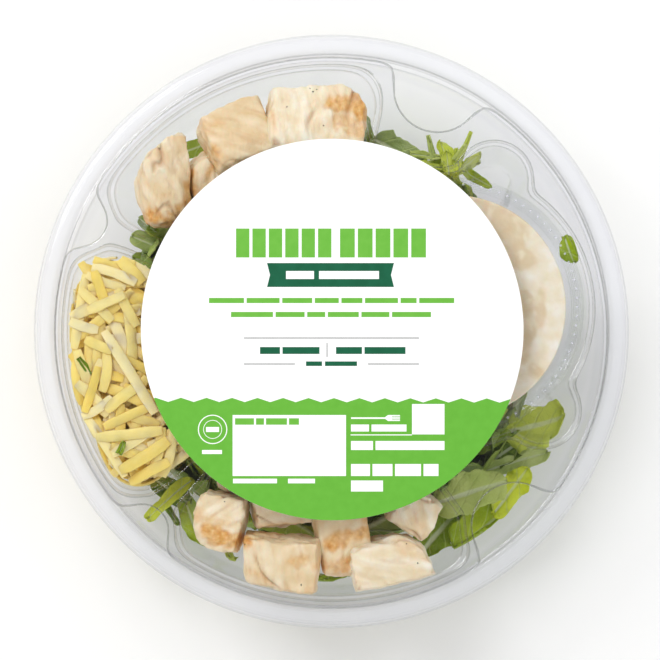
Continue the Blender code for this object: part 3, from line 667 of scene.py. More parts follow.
def grown(made, tree, material, **numbers):
    """Runs the tree on the object, with its inputs set by the sockets' identifiers, and keeps the mesh."""
    modifier = made.modifiers.new(tree.name, "NODES")
    modifier.node_group = tree
    for socket in tree.interface.items_tree:
        if socket.in_out == "INPUT" and socket.name in numbers:
            modifier[socket.identifier] = numbers[socket.name]
    baked(made)
    made.data.materials.clear()
    made.data.materials.append(material)
    made.data.polygons.foreach_set("material_index", [0] * len(made.data.polygons))
    return made


def joined(name, parts):
    """One object out of several, with their attributes kept."""
    with bpy.context.temp_override(active_object=parts[0], selected_editable_objects=parts):
        bpy.ops.object.join()
    parts[0].name = name
    return parts[0]


# %% [markdown]
# A mesh's points go to numpy and back as one flat array, which is many times faster than a loop over
# vertices. Everything that roughens a surface later reads its points and normals this way.

# %% Reading and moving a mesh's points


def points_of(made):
    """The object's vertices as an array."""
    flat = np.empty(len(made.data.vertices) * 3, dtype=np.float32)
    made.data.vertices.foreach_get("co", flat)
    return flat.reshape(-1, 3).astype(float)


def normals_of(made):
    flat = np.empty(len(made.data.vertices) * 3, dtype=np.float32)
    made.data.vertex_normals.foreach_get("vector", flat)
    return flat.reshape(-1, 3).astype(float)


def move_points(made, points):
    made.data.vertices.foreach_set("co", np.asarray(points, dtype=np.float32).ravel())
    made.data.update()


# %% [markdown]
# The dressing comes in its own stiff cup, with a film sealed over a flat flange. Rings moulded in the
# flange show as fine concentric lines. The sealing iron leaves a ring of small pips too: a circle gives
# their places, and one flattened bead goes on each, with a white painted glint. Cup and beads are one
# moulding, so they are joined.

# %% The cup

CUP_PATH = (
    (0.0, 30.15), (27.4, 30.15), (29.0, 31.4), (34.4, 48.9), (34.8, 49.9), (35.3, 50.2), (35.8, 49.9),
    (36.3, 50.2), (36.8, 49.9), (37.3, 50.2), (37.8, 49.9), (38.3, 50.15), (38.75, 49.8), (38.8, 49.2),
)
PIP_RING, PIP_SIZE, PIP_HEIGHT, PIP_PAINTED_GLINT = 36.9 * MM, 0.42 * MM, 50.35 * MM, 0.3
cup_middle = (CUP_CENTRE.x, CUP_CENTRE.y)
cup = turned("dressing_cup_shell", CUP_PATH, 0.22, 0.5, cup_pet, cup_middle, 160)
mark_bends(cup, 2.0, 6.0)

# %% Its sealing pips

tree, given = node_group("sealing_pips", Count=84, Radius=PIP_RING, Bead=PIP_SIZE)
ring = add(tree, "MeshCircle", Vertices=given["Count"], Radius=given["Radius"])
bead = add(tree, "MeshIcoSphere", Radius=given["Bead"], Subdivisions=1)
flat = add(tree, "Transform", Geometry=bead, Scale=(1.0, 1.0, 0.45))
on_ring = add(tree, "InstanceOnPoints", Points=ring, Instance=flat)
placed = add(tree, "Transform", Geometry=on_ring, Translation=(*cup_middle, PIP_HEIGHT))
real = add(tree, "RealizeInstances", Geometry=placed)
add(tree, "NodeGroupOutput", Geometry=add(tree, "SetMaterial", Geometry=real, Material=cup_pet))
seed = piece("pips", [(0, 0, 0)], [], [cup_pet])
pips = grown(seed, tree, cup_pet, Count=84, Radius=PIP_RING, Bead=PIP_SIZE)
# Each pip gets a white diffuse share: a painted glint that stands in for the lamp's sparkle.
give(pips, "milk", np.full(len(pips.data.polygons), PIP_PAINTED_GLINT), "FACE")
cup = joined("dressing_cup_shell", [cup, pips])
settle(cup, "clear_plastic", "dressing_cup")

# %% [markdown]
# The dressing fills the cup to just under the film. Where it wets the film it looks peach, and where it
# hangs clear of it it looks cream. The patches are drawn on the surface as one number per vertex, from
# their distance to a few strokes, and a noise breaks their edges. Herbs and pepper float in it.

# %% Noise and strokes on a surface


def stroke_distance(points, stroke):
    """Each point's distance to a line through (x, y) places."""
    nearest = np.full(len(points), 1.0)
    for a, b in zip(stroke, stroke[1:] or stroke):
        a, b = np.array(a), np.array(b)
        along = ((points - a) @ (b - a)) / max(((b - a) ** 2).sum(), 1e-12)
        foot = a + np.clip(along, 0, 1)[:, None] * (b - a)
        nearest = np.minimum(nearest, np.hypot(*(points - foot).T))
    return nearest


def rough(points, size_mm, seed, stretch=(1.0, 1.0, 1.0)):
    """Noise between -1 and 1 at each point, with features about size_mm across."""
    scale = np.array(stretch) / (size_mm * MM)
    return np.array([noise.noise(Vector(p * scale) + Vector((seed, 7.3 * seed, 1.9))) for p in points])


def smoothstep(low, high, value):
    t = np.clip((value - low) / (high - low), 0, 1)
    return t * t * (3 - 2 * t)


# %% [markdown]
# The cream's colour changes slowly with a cloud of noise. Its specks are the cells of a Voronoi texture:
# the distance to a cell's middle draws a dot, and the cell's own random colour picks which cells have one.

# %% The dressing: its cream

# Thick and wet: a soft broad shine, cream that lets a little light in, and dots of herb and pepper.
dressing_cream, tree = new_material("creamy_caesar_dressing")
place = add(tree, "TexCoord").outputs["Object"]
patch = add(tree, "Attribute", {"attribute_name": "patch"}).outputs["Fac"]
curds = add(tree, "TexNoise", Vector=place, Scale=per_mm(5.0), Detail=5.0)
cream = add(tree, "ValToRGB", {"stops": ((0.3, "#F0E3C0"), (0.5, "#F7ECD0"), (0.7, "#FDF7E6"))}, Fac=curds)
streaks = add(tree, "TexNoise", Vector=place, Scale=per_mm(4.5), Detail=5.0, Distortion=0.4)
peach = add(tree, "ValToRGB", {"stops": ((0.3, "#E3CB9E"), (0.55, "#EAD6B0"), (0.68, "#F7E9C9"))}, Fac=streaks)
herbs = add(tree, "TexVoronoi", Vector=place, Scale=per_mm(5.2), Randomness=1.0)
dot = add(tree, "Math", {"operation": "LESS_THAN"}, i0=herbs.outputs["Distance"], i1=0.06)
kind = add(tree, "SeparateColor", Color=herbs.outputs["Color"])
rare = add(tree, "Math", {"operation": "GREATER_THAN"}, i0=kind.outputs[0], i1=0.6)
speck = add(tree, "Math", {"operation": "MULTIPLY"}, i0=dot, i1=rare)
speck = add(tree, "Math", {"operation": "MULTIPLY"}, i0=speck, i1=0.75)
toned = add(tree, "Mix", RGBA, i0=patch, i6=cream, i7=peach)
flecked = add(tree, "Mix", RGBA, i0=speck, i6=toned, i7="#77643A")
ripples = add(tree, "TexNoise", Vector=place, Scale=per_mm(2.2), Detail=5.0)
swells = add(tree, "Bump", Strength=0.7, Distance=0.5 * MM, Height=ripples)
body = add(
    tree, "BsdfPrincipled", Base_Color=flecked, Roughness=0.24, Normal=swells,
    Subsurface_Weight=0.25, Subsurface_Scale=2.0 * MM, Coat_Weight=0.2,
)
add(tree, "OutputMaterial", Surface=body)

# %% The dressing: its shape

DRESSING_TOP = 49.3 * MM
FILL_PATH = ((0.0, 30.75), (26.0, 30.75), (28.0, 31.9), (33.4, 48.4), (33.6, 49.2))
outline = rounded([Vector(p) * MM for p in FILL_PATH], 0.9 * MM)
outline += [Vector((r * MM, DRESSING_TOP)) for r in np.linspace(33.2, 0.0, 60)]
outline[-1].x = 0.0


def swell(x, y):
    """The liquid's own slow waves, 11 mm and 4 mm long."""
    low = noise.noise(Vector((x * 90, y * 90, 1.0))) * 0.35 * MM
    return low + noise.noise(Vector((x * 260, y * 260, 2.0))) * 0.12 * MM


dressing = lathe("caesar_dressing", outline, dressing_cream, (CUP_CENTRE.x, CUP_CENTRE.y), 200)
spots = points_of(dressing)
upper = smoothstep(DRESSING_TOP - 1.0 * MM, DRESSING_TOP, spots[:, 2])
spots[:, 2] += upper * np.array([swell(x, y) for x, y, _ in spots])
move_points(dressing, spots)

# %% The dressing: where it wets the film

# each patch: the stroke's points and its half width, in picture pixels
PATCHES = (
    (((492, 208), (512, 235), (522, 258)), 13),
    (((540, 290), (543, 302), (538, 322)), 5),
    (((522, 300), (526, 330), (520, 350)), 11),
    (((537, 369), (537.5, 369)), 5.5),
    (((500, 262), (508, 290), (505, 330)), 12),
    (((470, 190), (490, 200)), 7),
    (((400, 300), (430, 330), (450, 380)), 16),
)
reach = np.zeros(len(spots))
edge_noise = (rough(spots, 5.0, 3.0) * 2.0 + rough(spots, 1.8, 4.0) * 0.9) * MM
for stroke, half in PATCHES:
    line = [picture_place(px, py, DRESSING_TOP) for px, py in stroke]
    far = stroke_distance(spots[:, :2], line) - half * PIXEL
    reach = np.maximum(reach, 1 - smoothstep(-0.9 * MM, 0.9 * MM, far + edge_noise))
give(dressing, "patch", reach * 0.85)
settle(dressing, "creamy_dressing", "dressing")

# %% [markdown]
# The film is welded flat on the cup's flange after filling. It is a thin disc of its own, with the same clear
# sheet as the rest but a softer shine, so that it hardly shows over the dressing.

# %% The film over the dressing

# Thin PE film: the same faint shine as the sheets, only softer.
film = clear_sheet("seal_clear_film", "#C8C9C0", "#C8C9C0", roughness=0.12)
FILM_PATH = ((0.0, 50.95), (37.7, 50.95), (37.9, 51.02), (37.9, 51.12), (37.7, 51.2), (0.0, 51.2))
seal = lathe("seal_film", [Vector(p) * MM for p in FILM_PATH], film, cup_middle, 160)
settle(seal, "clear_plastic", "dressing_seal")

# %% [markdown]
# The label is coated paper printed in four flat inks, as plain fields and bars in their true places and
# colours. Every shape is cut into the paper's upper face, and each face takes the ink of the last shape that
# covers it, so the print is flush and nothing can flicker.

# %% The label's inks


def ink(name, low, high):
    """Printed coated paper: an even matt-satin colour with the faintest mottle of fibres under it."""
    made, tree = new_material(name)
    place = add(tree, "TexCoord").outputs["Object"]
    mottle = add(tree, "TexNoise", Vector=place, Scale=per_mm(2.5), Detail=3.0)
    shade = add(tree, "ValToRGB", {"stops": ((0.35, low), (0.65, high))}, Fac=mottle)
    weave = add(tree, "TexNoise", Vector=place, Scale=per_mm(0.35), Detail=2.0)
    fibres = add(tree, "Bump", Strength=0.1, Distance=0.05 * MM, Height=weave)
    coat = add(
        tree, "BsdfPrincipled", Base_Color=shade, Roughness=0.45, Normal=fibres, Specular_IOR_Level=0.3,
    )
    add(tree, "OutputMaterial", Surface=coat)
    return made


inks = [
    ink("label_coated_paper", "#FDFDFD", "#FFFFFF"),
    ink("label_ink_leaf_green", "#67B636", "#6BBA3A"),
    ink("label_ink_light_green", "#6CBA3C", "#72BE42"),
    ink("label_ink_dark_green", "#01603F", "#066645"),
    ink("label_ink_grey", "#7B7D7B", "#858785"),
]
PAPER, FIELD, LIGHT, DARK, GREY = range(5)

# %% [markdown]
# Three small functions turn places in the picture into shapes on the label: a bar, a circle and a row of
# bars. The shapes are then listed from the lowest to the topmost.

# %% Shapes for the print

LABEL_RADIUS, LABEL_SIDES = 57.1 * MM, 240
LABEL_LOW, LABEL_TOP = 57.7 * MM, 58.0 * MM


def place(px, py):
    """The label's (x, y) under a pixel."""
    return picture_place(px, py, LABEL_TOP)


def bar(left, right, top, bottom):
    """A bar from picture columns and rows."""
    return [place(left, top), place(right, top), place(right, bottom), place(left, bottom)]


def circle(px, py, radius, count=40):
    """A circle round a pixel."""
    turns = np.linspace(0, 2 * math.pi, count, endpoint=False)
    return [place(px + radius * math.cos(t), py + radius * math.sin(t)) for t in turns]


def bars(row, height, start, widths, gap):
    """Bars of those widths along a row of the picture, from its left end on."""
    made = []
    for wide in widths:
        made.append(bar(start, start + wide, row - height / 2, row + height / 2))
        start += wide + gap
    return made


prints = []


def printed(which, *shapes):
    """Puts shapes on top of the list, in that ink."""
    prints.extend((which, shape) for shape in shapes)


# %% The upper half of the print

# The green field's upper edge is a row of low teeth.
TOOTH, TOOTH_TOP, TOOTH_FOOT = 3.8 * MM, -20.6 * MM, -21.85 * MM
teeth = [(-45.1 * MM + TOOTH * k, TOOTH_TOP if k % 2 == 0 else TOOTH_FOOT) for k in range(-4, 28)]
below = [(62 * MM, -30 * MM), (62 * MM, -62 * MM), (-62 * MM, -62 * MM), (-62 * MM, -30 * MM)]
printed(FIELD, teeth + below)
# two groups of tall blocks, and under them a ribbon with two bars on it
ribbon = ((267, 263), (394, 263), (391, 275), (394, 287), (267, 287), (270, 275))
printed(DARK, [place(*p) for p in ribbon])
printed(PAPER, *bars(275, 8, 286, (28, 60), 5))
printed(LIGHT, *bars(243, 29, 236, (13.4,) * 6, 3), *bars(243, 29, 340, (14.8,) * 5, 3))
# two rows of low bars
printed(LIGHT, *bars(300.5, 5.2, 209, (35, 33, 30, 24, 21, 33, 16, 35), 2.6))
printed(LIGHT, *bars(314.5, 5.2, 231, (42, 29, 18, 31, 28, 39), 2.6))
# four dark bars and two shorter ones between thin lines
printed(GREY, bar(244, 419, 337.5, 338.5), bar(244, 295, 363.5, 364.5), bar(368, 419, 363.5, 364.5))
printed(DARK, *bars(350.5, 7, 260, (20, 37), 2.5), *bars(350.5, 7, 336, (26, 41), 2.5))
printed(GREY, bar(326.6, 327.5, 343, 357))
printed(DARK, bar(306, 322, 361.4, 366), bar(325, 357, 361.4, 366))

# %% The lower half of the print

# two blank panels and a thin line beside them
printed(PAPER, bar(232.6, 346, 415, 476), bar(412, 444.5, 404, 434.4), bar(350.6, 412, 434.4, 435.4))
printed(LIGHT, *bars(421.5, 6.5, 235, (19, 8, 21, 10), 2))
# a round seal: two thin rings and a bar
printed(PAPER, circle(212.6, 429.4, 14.7))
printed(FIELD, circle(212.6, 429.4, 13.7))
printed(PAPER, circle(212.6, 429.4, 9.4))
printed(FIELD, circle(212.6, 429.4, 8.8))
printed(PAPER, bar(206, 219, 427, 432))
# the rows to the right, and those under the seal and the larger panel
printed(PAPER, *bars(428, 7, 351, (18, 35), 2.5), *bars(445.5, 9, 351, (22, 69), 2.5))
printed(PAPER, *bars(470, 12, 351, (19, 20, 26, 15), 2.5), *bars(486, 11, 351, (32,), 0))
printed(PAPER, bar(202, 222, 450, 454), bar(233, 277, 478.7, 483.3), bar(288, 315, 478.7, 483.3))
# a small fork: its handle, its head and four prongs
printed(PAPER, bar(351, 386, 417.3, 418.9))
printed(PAPER, [place(*p) for p in ((384, 418), (388, 415), (392, 415), (392, 421), (388, 421))])
printed(PAPER, *(bar(391, 400, y, y + 1.1) for y in (415, 416.65, 418.3, 419.9)))
print("printed shapes:", len(prints))

# %% [markdown]
# A constrained triangulation takes every shape's outline as edges that it has to keep, so each triangle lies
# wholly inside or outside every shape. The last shape that goes round its middle gives it its ink.

# %% Cut the shapes into the paper

turns = np.linspace(0, 2 * math.pi, LABEL_SIDES, endpoint=False)
spots = [Vector((LABEL_RADIUS * math.cos(t), LABEL_RADIUS * math.sin(t))) for t in turns]
edges = closed_edges(0, LABEL_SIDES)
for _, shape in prints:
    edges += closed_edges(len(spots), len(shape))
    spots += [Vector(p) for p in shape]
places, _, triangles, _, _, _ = delaunay_2d_cdt(spots, edges, [], 0, 1e-7)
rings = [(which, np.array(shape)) for which, shape in reversed(prints)]
upper, colours = [], []
for triangle in triangles:
    middle = sum((places[k] for k in triangle), Vector((0.0, 0.0))) / 3
    if middle.length < LABEL_RADIUS * math.cos(math.pi / LABEL_SIDES):
        upper.append(tuple(triangle))
        colours.append(next((which for which, ring in rings if encloses(ring, middle.x, middle.y)), PAPER))
print("printed triangles:", len(upper))

# %% [markdown]
# The paper's own thickness is added last. An edge that belongs to a single triangle is on the border, and
# the border edges chained one after another give the loop from which the side and the underside are built.

# %% The label

used = sorted({k for face in upper for k in face})
renumbered = {k: n for n, k in enumerate(used)}
points = [(places[k].x, places[k].y, LABEL_TOP) for k in used]
faces = [tuple(renumbered[k] for k in face) for face in upper]
pairs = {}
for face in faces:
    for a, b in zip(face, face[1:] + face[:1]):
        pairs.setdefault(frozenset((a, b)), []).append((a, b))
border = dict(p[0] for p in pairs.values() if len(p) == 1)
loop = [next(iter(border))]
while border[loop[-1]] != loop[0]:
    loop.append(border[loop[-1]])
low = {k: len(points) + n for n, k in enumerate(loop)}
points += [(points[k][0], points[k][1], LABEL_LOW) for k in loop]
faces += [(k, low[k], low[border[k]], border[k]) for k in loop] + [tuple(low[k] for k in reversed(loop))]
label = piece("paper_label", points, faces, inks, False)
for face, colour in zip(label.data.polygons, colours):
    face.material_index = colour
settle(label, "label_paper", "label")

# %% [markdown]
# The chicken is diced grilled breast: pale flesh with long fibres, a few tears, and browned skin where it
# lay on the grill. Each dice starts from its imported shape. A voxel remesh gives it an even skin, and the
# points then move along their normals: slow lumps, fine fibres along the grain and some deep tears.

# %% Chicken flesh: its colours

# Moist cooked meat: pale fibres, a soft sheen, golden brown where it was seared, painted shade in the tears.
flesh, tree = new_material("grilled_chicken_breast")
place = add(tree, "TexCoord").outputs["Object"]
seared, pit, light = (
    add(tree, "Attribute", {"attribute_name": name}).outputs["Fac"] for name in ("seared", "pit", "light")
)
clouds = add(tree, "TexNoise", Vector=place, Scale=per_mm(5.0), Detail=5.0)
mottle = add(tree, "Math", {"operation": "MULTIPLY_ADD"}, i0=clouds, i1=0.6, i2=light)
flesh_stops = ((0.0, "#DABB88"), (0.25, "#E7CFA4"), (0.45, "#F0E0BE"), (0.7, "#FAF4E2"))
pale = add(tree, "ValToRGB", {"stops": flesh_stops}, Fac=mottle)
crumbs = add(tree, "TexNoise", Vector=place, Scale=per_mm(1.6), Detail=4.0)
gold = add(tree, "ValToRGB", {"stops": ((0.3, "#C98A3E"), (0.5, "#DFA859"), (0.75, "#EFCA8E"))}, Fac=crumbs)
ragged = add(tree, "TexNoise", Vector=place, Scale=per_mm(4.0), Detail=5.0)
bite = add(tree, "Math", {"operation": "MULTIPLY_ADD"}, i0=ragged, i1=1.2, i2=0.35)
browned = add(tree, "Math", {"operation": "MULTIPLY", "use_clamp": True}, i0=seared, i1=bite)
crust = add(tree, "Mix", RGBA, i0=browned, i6=pale, i7=gold)
# Painted shade: a darker brown in the tears and in the low grooves between fibres.
crease_shade_share = add(tree, "Math", {"operation": "MULTIPLY"}, i0=pit, i1=0.6)
crease_shaded = add(tree, "Mix", RGBA, i0=crease_shade_share, i6=crust, i7="#C08A58")

# %% Chicken flesh: its fibres and its shine

drawn = add(tree, "Mapping", Vector=place, Rotation=(0.0, 0.0, 0.4), Scale=(1.0, 0.35, 1.0))
threads = add(tree, "TexNoise", Vector=drawn, Scale=per_mm(0.9), Detail=5.0)
nap = add(tree, "Bump", Strength=0.8, Distance=0.4 * MM, Height=threads)
body = add(
    tree, "BsdfPrincipled", Base_Color=crease_shaded, Roughness=0.46, Normal=nap, Specular_IOR_Level=0.4,
    Subsurface_Weight=0.22, Subsurface_Scale=2.0 * MM,
)
add(tree, "OutputMaterial", Surface=body)

# %% [markdown]
# The seasoning is cracked black pepper. Geometry Nodes scatter points over a dice, and set a small rough
# grain on each with its own turn and size. The grains come out as a mesh of their own, so the tree ends in
# plain geometry with its material, and are then joined to the dice.

# %% Flecks of pepper

# Dry cracked husk: nearly black, brown where it broke, with no shine.
pepper, tree = new_material("cracked_black_pepper")
place = add(tree, "TexCoord").outputs["Object"]
cracks = add(tree, "TexNoise", Vector=place, Scale=per_mm(0.3), Detail=2.0)
husk = add(tree, "ValToRGB", {"stops": ((0.3, "#1F1710"), (0.7, "#4A3826"))}, Fac=cracks)
add(tree, "OutputMaterial", Surface=add(tree, "BsdfPrincipled", Base_Color=husk, Roughness=0.7))

peppered, given = node_group("pepper_flecks", Density=4000.0, Seed=1)
spread = add(
    peppered, "DistributePointsOnFaces", Mesh=given["Geometry"], Density=given["Density"], Seed=given["Seed"],
)
fleck = add(peppered, "MeshIcoSphere", Radius=0.28 * MM, Subdivisions=1)
size = add(
    peppered, "FunctionNodeRandomValue", {"data_type": "FLOAT_VECTOR"}, i0=(0.5, 0.5, 0.3), i1=(1.5, 1.1, 0.6),
    Seed=7,
)
lay = add(
    peppered, "InstanceOnPoints", Points=spread, Instance=fleck, Rotation=spread.outputs["Rotation"],
    Scale=size,
)
real = add(peppered, "RealizeInstances", Geometry=lay)
add(peppered, "NodeGroupOutput", Geometry=add(peppered, "SetMaterial", Geometry=real, Material=pepper))

# %% [markdown]
# The pan browns only the high places of a dice, so no rule could say where. It is drawn as strokes in
# picture pixels, each with its half width and strength. A table then says how each dice differs: its fibre
# direction, its seed, its pepper for each square metre, how pale it is, and where the photo has it moved.

# %% Where the dice are browned, and how they differ

BROWN_STROKES = (
    (((192, 174), (189, 200), (168, 222), (146, 218)), 5, 0.9),
    (((214, 150), (217, 158)), 4, 0.7),
    (((334, 106), (352, 104), (362, 112)), 8, 0.95),
    (((336, 122), (350, 128), (362, 134)), 8, 0.6),
    (((272, 112), (276, 134)), 4, 0.4),
    (((206, 530), (226, 538), (246, 542)), 7, 1.0),
    (((200, 518), (228, 524)), 5, 0.45),
    (((289, 563), (305, 560)), 3.0, 0.7),
    (((254, 574), (264, 580)), 3.0, 0.45),
    (((245, 534), (300, 528)), 3.0, 0.6),
    (((330, 545), (350, 536), (368, 532)), 6, 0.9),
    (((318, 568), (344, 566)), 5, 0.7),
    (((362, 514), (376, 524)), 8, 0.75),
    (((206, 176), (214, 168)), 3.5, 0.6),
)
# fibre direction, seed, pepper, paleness, then the move right and down in pixels and the size across and down
DICE = {
    "chicken_01": (60, 2.0, 0, 0.0, (5, 0), (0.96, 1.0)),
    "chicken_02": (100, 3.0, 0, 0.04, (3, -5), (1.1, 1.1)),
    "chicken_03": (20, 4.0, 0, -0.08, (4, 5), (1.0, 0.97)),
    "chicken_04": (85, 5.0, 3000, 0.13, (-4, 8), (1.0, 1.0)),
    "chicken_05": (40, 6.0, 0, 0.1),
    "chicken_06": (10, 7.0, 0, 0.1),
    "chicken_07": (150, 8.0, 3000, 0.05, (3, -2), (0.86, 0.94)),
    "chicken_08": (30, 9.0, 0, 0.1),
    "chicken_09": (80, 21.4, 3000, -0.04, (1, 3), (1.1, 1.1)),
    "chicken_10": (95, 11.0, 0, -0.02, (6, 3), (1.4, 1.0)),
    "chicken_11": (15, 12.0, 14000, 0.12, (-4, 3), (1.25, 1.05)),
    "chicken_12": (70, 13.0, 0, 0.1),
    "chicken_13": (0, 14.0, 0, 0.1),
    "chicken_14": (50, 15.0, 0, 0.1),
    "chicken_15": (120, 16.0, 0, 0.1),
}
UPPER_DICE = 6
WALL_GAP = 0.9 * MM
print("dice:", len(DICE), "browned places:", len(BROWN_STROKES))

# %% [markdown]
# A packed dice is a handful of flat faces. The voxel remesh turns it into thousands of even ones, which a
# few rounds of smoothing soften, so that there is something to roughen. It is kept off its well's wall.

# %% A dice's skin


def in_well(points, name):
    """The points pressed back from the outer wall of their well, as food lies against a leaning wall."""
    points = points.copy()
    depth = np.clip(DECK - points[:, 2], 0.0, WELL_DEPTH)
    for _ in range(3):
        over = wedge_edge(name, points[:, 0], points[:, 1], depth) + WALL_GAP
        inward = points[:, :2] / np.hypot(points[:, 0], points[:, 1])[:, None]
        points[:, :2] -= inward * np.maximum(over, 0.0)[:, None]
    return points


def skinned(node):
    """A copy of a packed dice as one even, softened skin."""
    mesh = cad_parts[node].data.copy()
    form = bmesh.new()
    form.from_mesh(mesh)
    bmesh.ops.remove_doubles(form, verts=form.verts[:], dist=1e-6)
    form.to_mesh(mesh)
    form.free()
    mesh.materials.clear()
    mesh.materials.append(flesh)
    made = bpy.data.objects.new("grilled_" + node, mesh)
    bpy.context.scene.collection.objects.link(made)
    made.matrix_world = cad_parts[node].matrix_world
    skin = made.modifiers.new("skin", "REMESH")
    skin.mode = "VOXEL"
    skin.voxel_size = 0.5 * MM
    soften = made.modifiers.new("soften", "SMOOTH")
    soften.iterations = 3
    baked(made)
    made.data.shade_smooth()
    return made


# %% [markdown]
# Meat is built of fibres, so most of the noise here is stretched along one direction. Tears are where a slow
# noise crosses zero, which gives thin winding lines, and a second noise leaves most of them out.

# %% The fifteen dice


def seared_at(points, lumps, fibres, seed):
    """How browned each point is: a little at random, and more along the drawn strokes."""
    brown = smoothstep(0.2, 0.62, rough(points, 8.0, seed + 0.3)) * 0.3
    for stroke, half, strength in BROWN_STROKES:
        line = [picture_place(px, py, 47 * MM) for px, py in stroke]
        far = stroke_distance(points[:, :2], line) - half * PIXEL
        near = 1 - smoothstep(-1.0 * MM, 1.4 * MM, far + (1.6 * lumps + 1.4 * fibres) * MM)
        brown = np.maximum(brown, near * strength * smoothstep(36 * MM, 42 * MM, points[:, 2]))
    return brown


def with_pepper(made, flecks, seed):
    """The dice joined with that many flecks of pepper for each square metre."""
    base = bpy.data.objects.new("pepper_on_" + made.name, made.data.copy())
    bpy.context.scene.collection.objects.link(base)
    grains = grown(base, peppered, pepper, Density=float(flecks), Seed=int(seed))
    if grains.data.polygons:
        return joined(made.name, [made, grains])
    bpy.data.objects.remove(grains)
    return made


def dice_of(node, grain_turn, seed, flecks, light, shift=(0, 0), size=(1.0, 1.0)):
    """A finished dice, with fibres that run at that turn."""
    made = skinned(node)
    points, normals = points_of(made), normals_of(made)
    middle = points.mean(axis=0) * [1, 1, 0]
    points = (points - middle) * [*size, 1.0] + middle + np.array([shift[0], -shift[1], 0]) * PIXEL
    turn = math.radians(grain_turn)
    grained = points @ np.array(Matrix.Rotation(-turn, 3, "Z"))
    lumps = rough(points, 7.0, seed)
    fibres = rough(grained, 1.5, seed, (0.16, 1.0, 0.8))
    flakes = np.abs(rough(grained, 4.0, seed + 0.2, (0.3, 1.0, 1.0)))
    tears = np.clip(1 - np.abs(rough(grained, 9.0, seed + 0.5, (0.45, 1.0, 1.0))) / 0.07, 0, 1)
    tears *= smoothstep(0.0, 0.3, rough(points, 11.0, seed + 0.7))
    fine = rough(points, 0.9, seed)
    step = (-0.3 + 0.6 * lumps + 0.3 * fibres + 0.12 * fine + 0.8 * flakes - 1.0 * tears) * MM
    points = points + normals * step[:, None]
    well = "upper_chicken" if int(node[-2:]) <= UPPER_DICE else "lower_chicken"
    move_points(made, in_well(points, well))
    give(made, "seared", seared_at(points, lumps, fibres, seed))
    give(made, "light", light + 0.15 * smoothstep(0.05, 0.5, flakes))
    # Painted crease shade, in the tears and in the low grooves between fibres.
    give(made, "pit", np.clip(tears + 0.35 * smoothstep(0.25, 0.6, -fibres), 0, 1))
    return with_pepper(made, flecks, seed) if flecks else made


for node, looks in DICE.items():
    settle(dice_of(node, *looks), "grilled_chicken", node)

# %% [markdown]
# Shredded parmesan is short blunt sticks, a little see-through. Each stick stores how deep it lies, and the
# material turns that number into a painted amber glow and shade, so the heap is pale on top and amber in its
# gaps.

# %% The cheese: the material

# Hard waxy cheese: pale yellow with whiter clouds, a dull shine, and painted amber light and shade deep in the
# heap.
shredded, tree = new_material("shredded_parmesan")
place = add(tree, "TexCoord").outputs["Object"]
hue = add(tree, "Attribute", {"attribute_name": "hue"}).outputs["Fac"]
sunk = add(tree, "Attribute", {"attribute_name": "sunk"}).outputs["Fac"]
tone = add(tree, "ValToRGB", {"stops": ((0.0, "#FBD66E"), (0.5, "#FDE18A"), (1.0, "#FFEDB4"))}, Fac=hue)
fat = add(tree, "TexNoise", Vector=place, Scale=per_mm(2.4), Detail=4.0)
cloud = add(tree, "ValToRGB", {"stops": ((0.3, "#F4E2A6"), (0.7, "#FFFDF2"))}, Fac=fat)
tone = add(tree, "Mix", {**RGBA, "blend_type": "MULTIPLY"}, i0=0.25, i6=tone, i7=cloud)
# Painted amber glow and shade, strongest on the shreds that lie deepest.
glow_shaded = add(tree, "Mix", RGBA, i0=sunk, i6=tone, i7="#FBB835")
curd = add(tree, "TexNoise", Vector=place, Scale=per_mm(0.9), Detail=4.0)
rub = add(tree, "Bump", Strength=0.5, Distance=0.2 * MM, Height=curd)
body = add(
    tree, "BsdfPrincipled", Base_Color=glow_shaded, Roughness=0.5, Normal=rub, Specular_IOR_Level=0.35,
    Subsurface_Weight=0.5, Subsurface_Scale=3.5 * MM, Subsurface_Radius=(1.0, 0.85, 0.35),
)
add(tree, "OutputMaterial", Surface=body)

# %% [markdown]
# A core keeps the heap full, so that only the shreds near its surface have to be real. It is a stack of
# rings, each the well's outline at that depth, set in by as much as the heap leans back there.

# %% The cheese: its core

# (depth under the deck, inset from the well's wall) in mm, from the bottom up
HEAP_LEVELS = (
    (17.2, 5.2), (15.0, 3.9), (9.0, 3.5), (6.0, 3.8), (4.2, 4.8), (3.0, 6.5), (2.2, 9.5), (1.8, 14.0),
)
centre = well_centre("cheese")
CORE_SIDES = 120
points, faces, rings = [], [], []
for depth, inset in HEAP_LEVELS:
    ring = outline_of(lambda x, y: wedge_edge("cheese", x, y, depth * MM), centre, -inset * MM, CORE_SIDES)
    rings.append(ring_at(points, ring, DECK - depth * MM))
for lower, upper in zip(rings, rings[1:]):
    faces += stitched(lower, upper)
for ring, depth in ((rings[0], 17.3), (rings[-1], 1.7)):
    tip = ring_at(points, [centre], DECK - depth * MM)[0]
    faces += [(a, b, tip) for a, b in zip(ring, ring[1:] + ring[:1])]
cheese_core = piece("cheese_core", points, faces, [shredded])
give(cheese_core, "hue", np.full(len(points), 0.2))
# The core gets a share of the painted amber glow and shade too.
give(cheese_core, "sunk", np.full(len(points), 0.2))
print("core points:", len(points))

# %% [markdown]
# A heap that only looks laid would float or cut through itself, so each shred is put down in turn. A height
# map of the heap says where it touches. A stiff stick would take the slope that lets it sit lowest, and a
# limp one would follow what is under it: a shred is mostly limp.

# %% The cheese: a height map of the heap

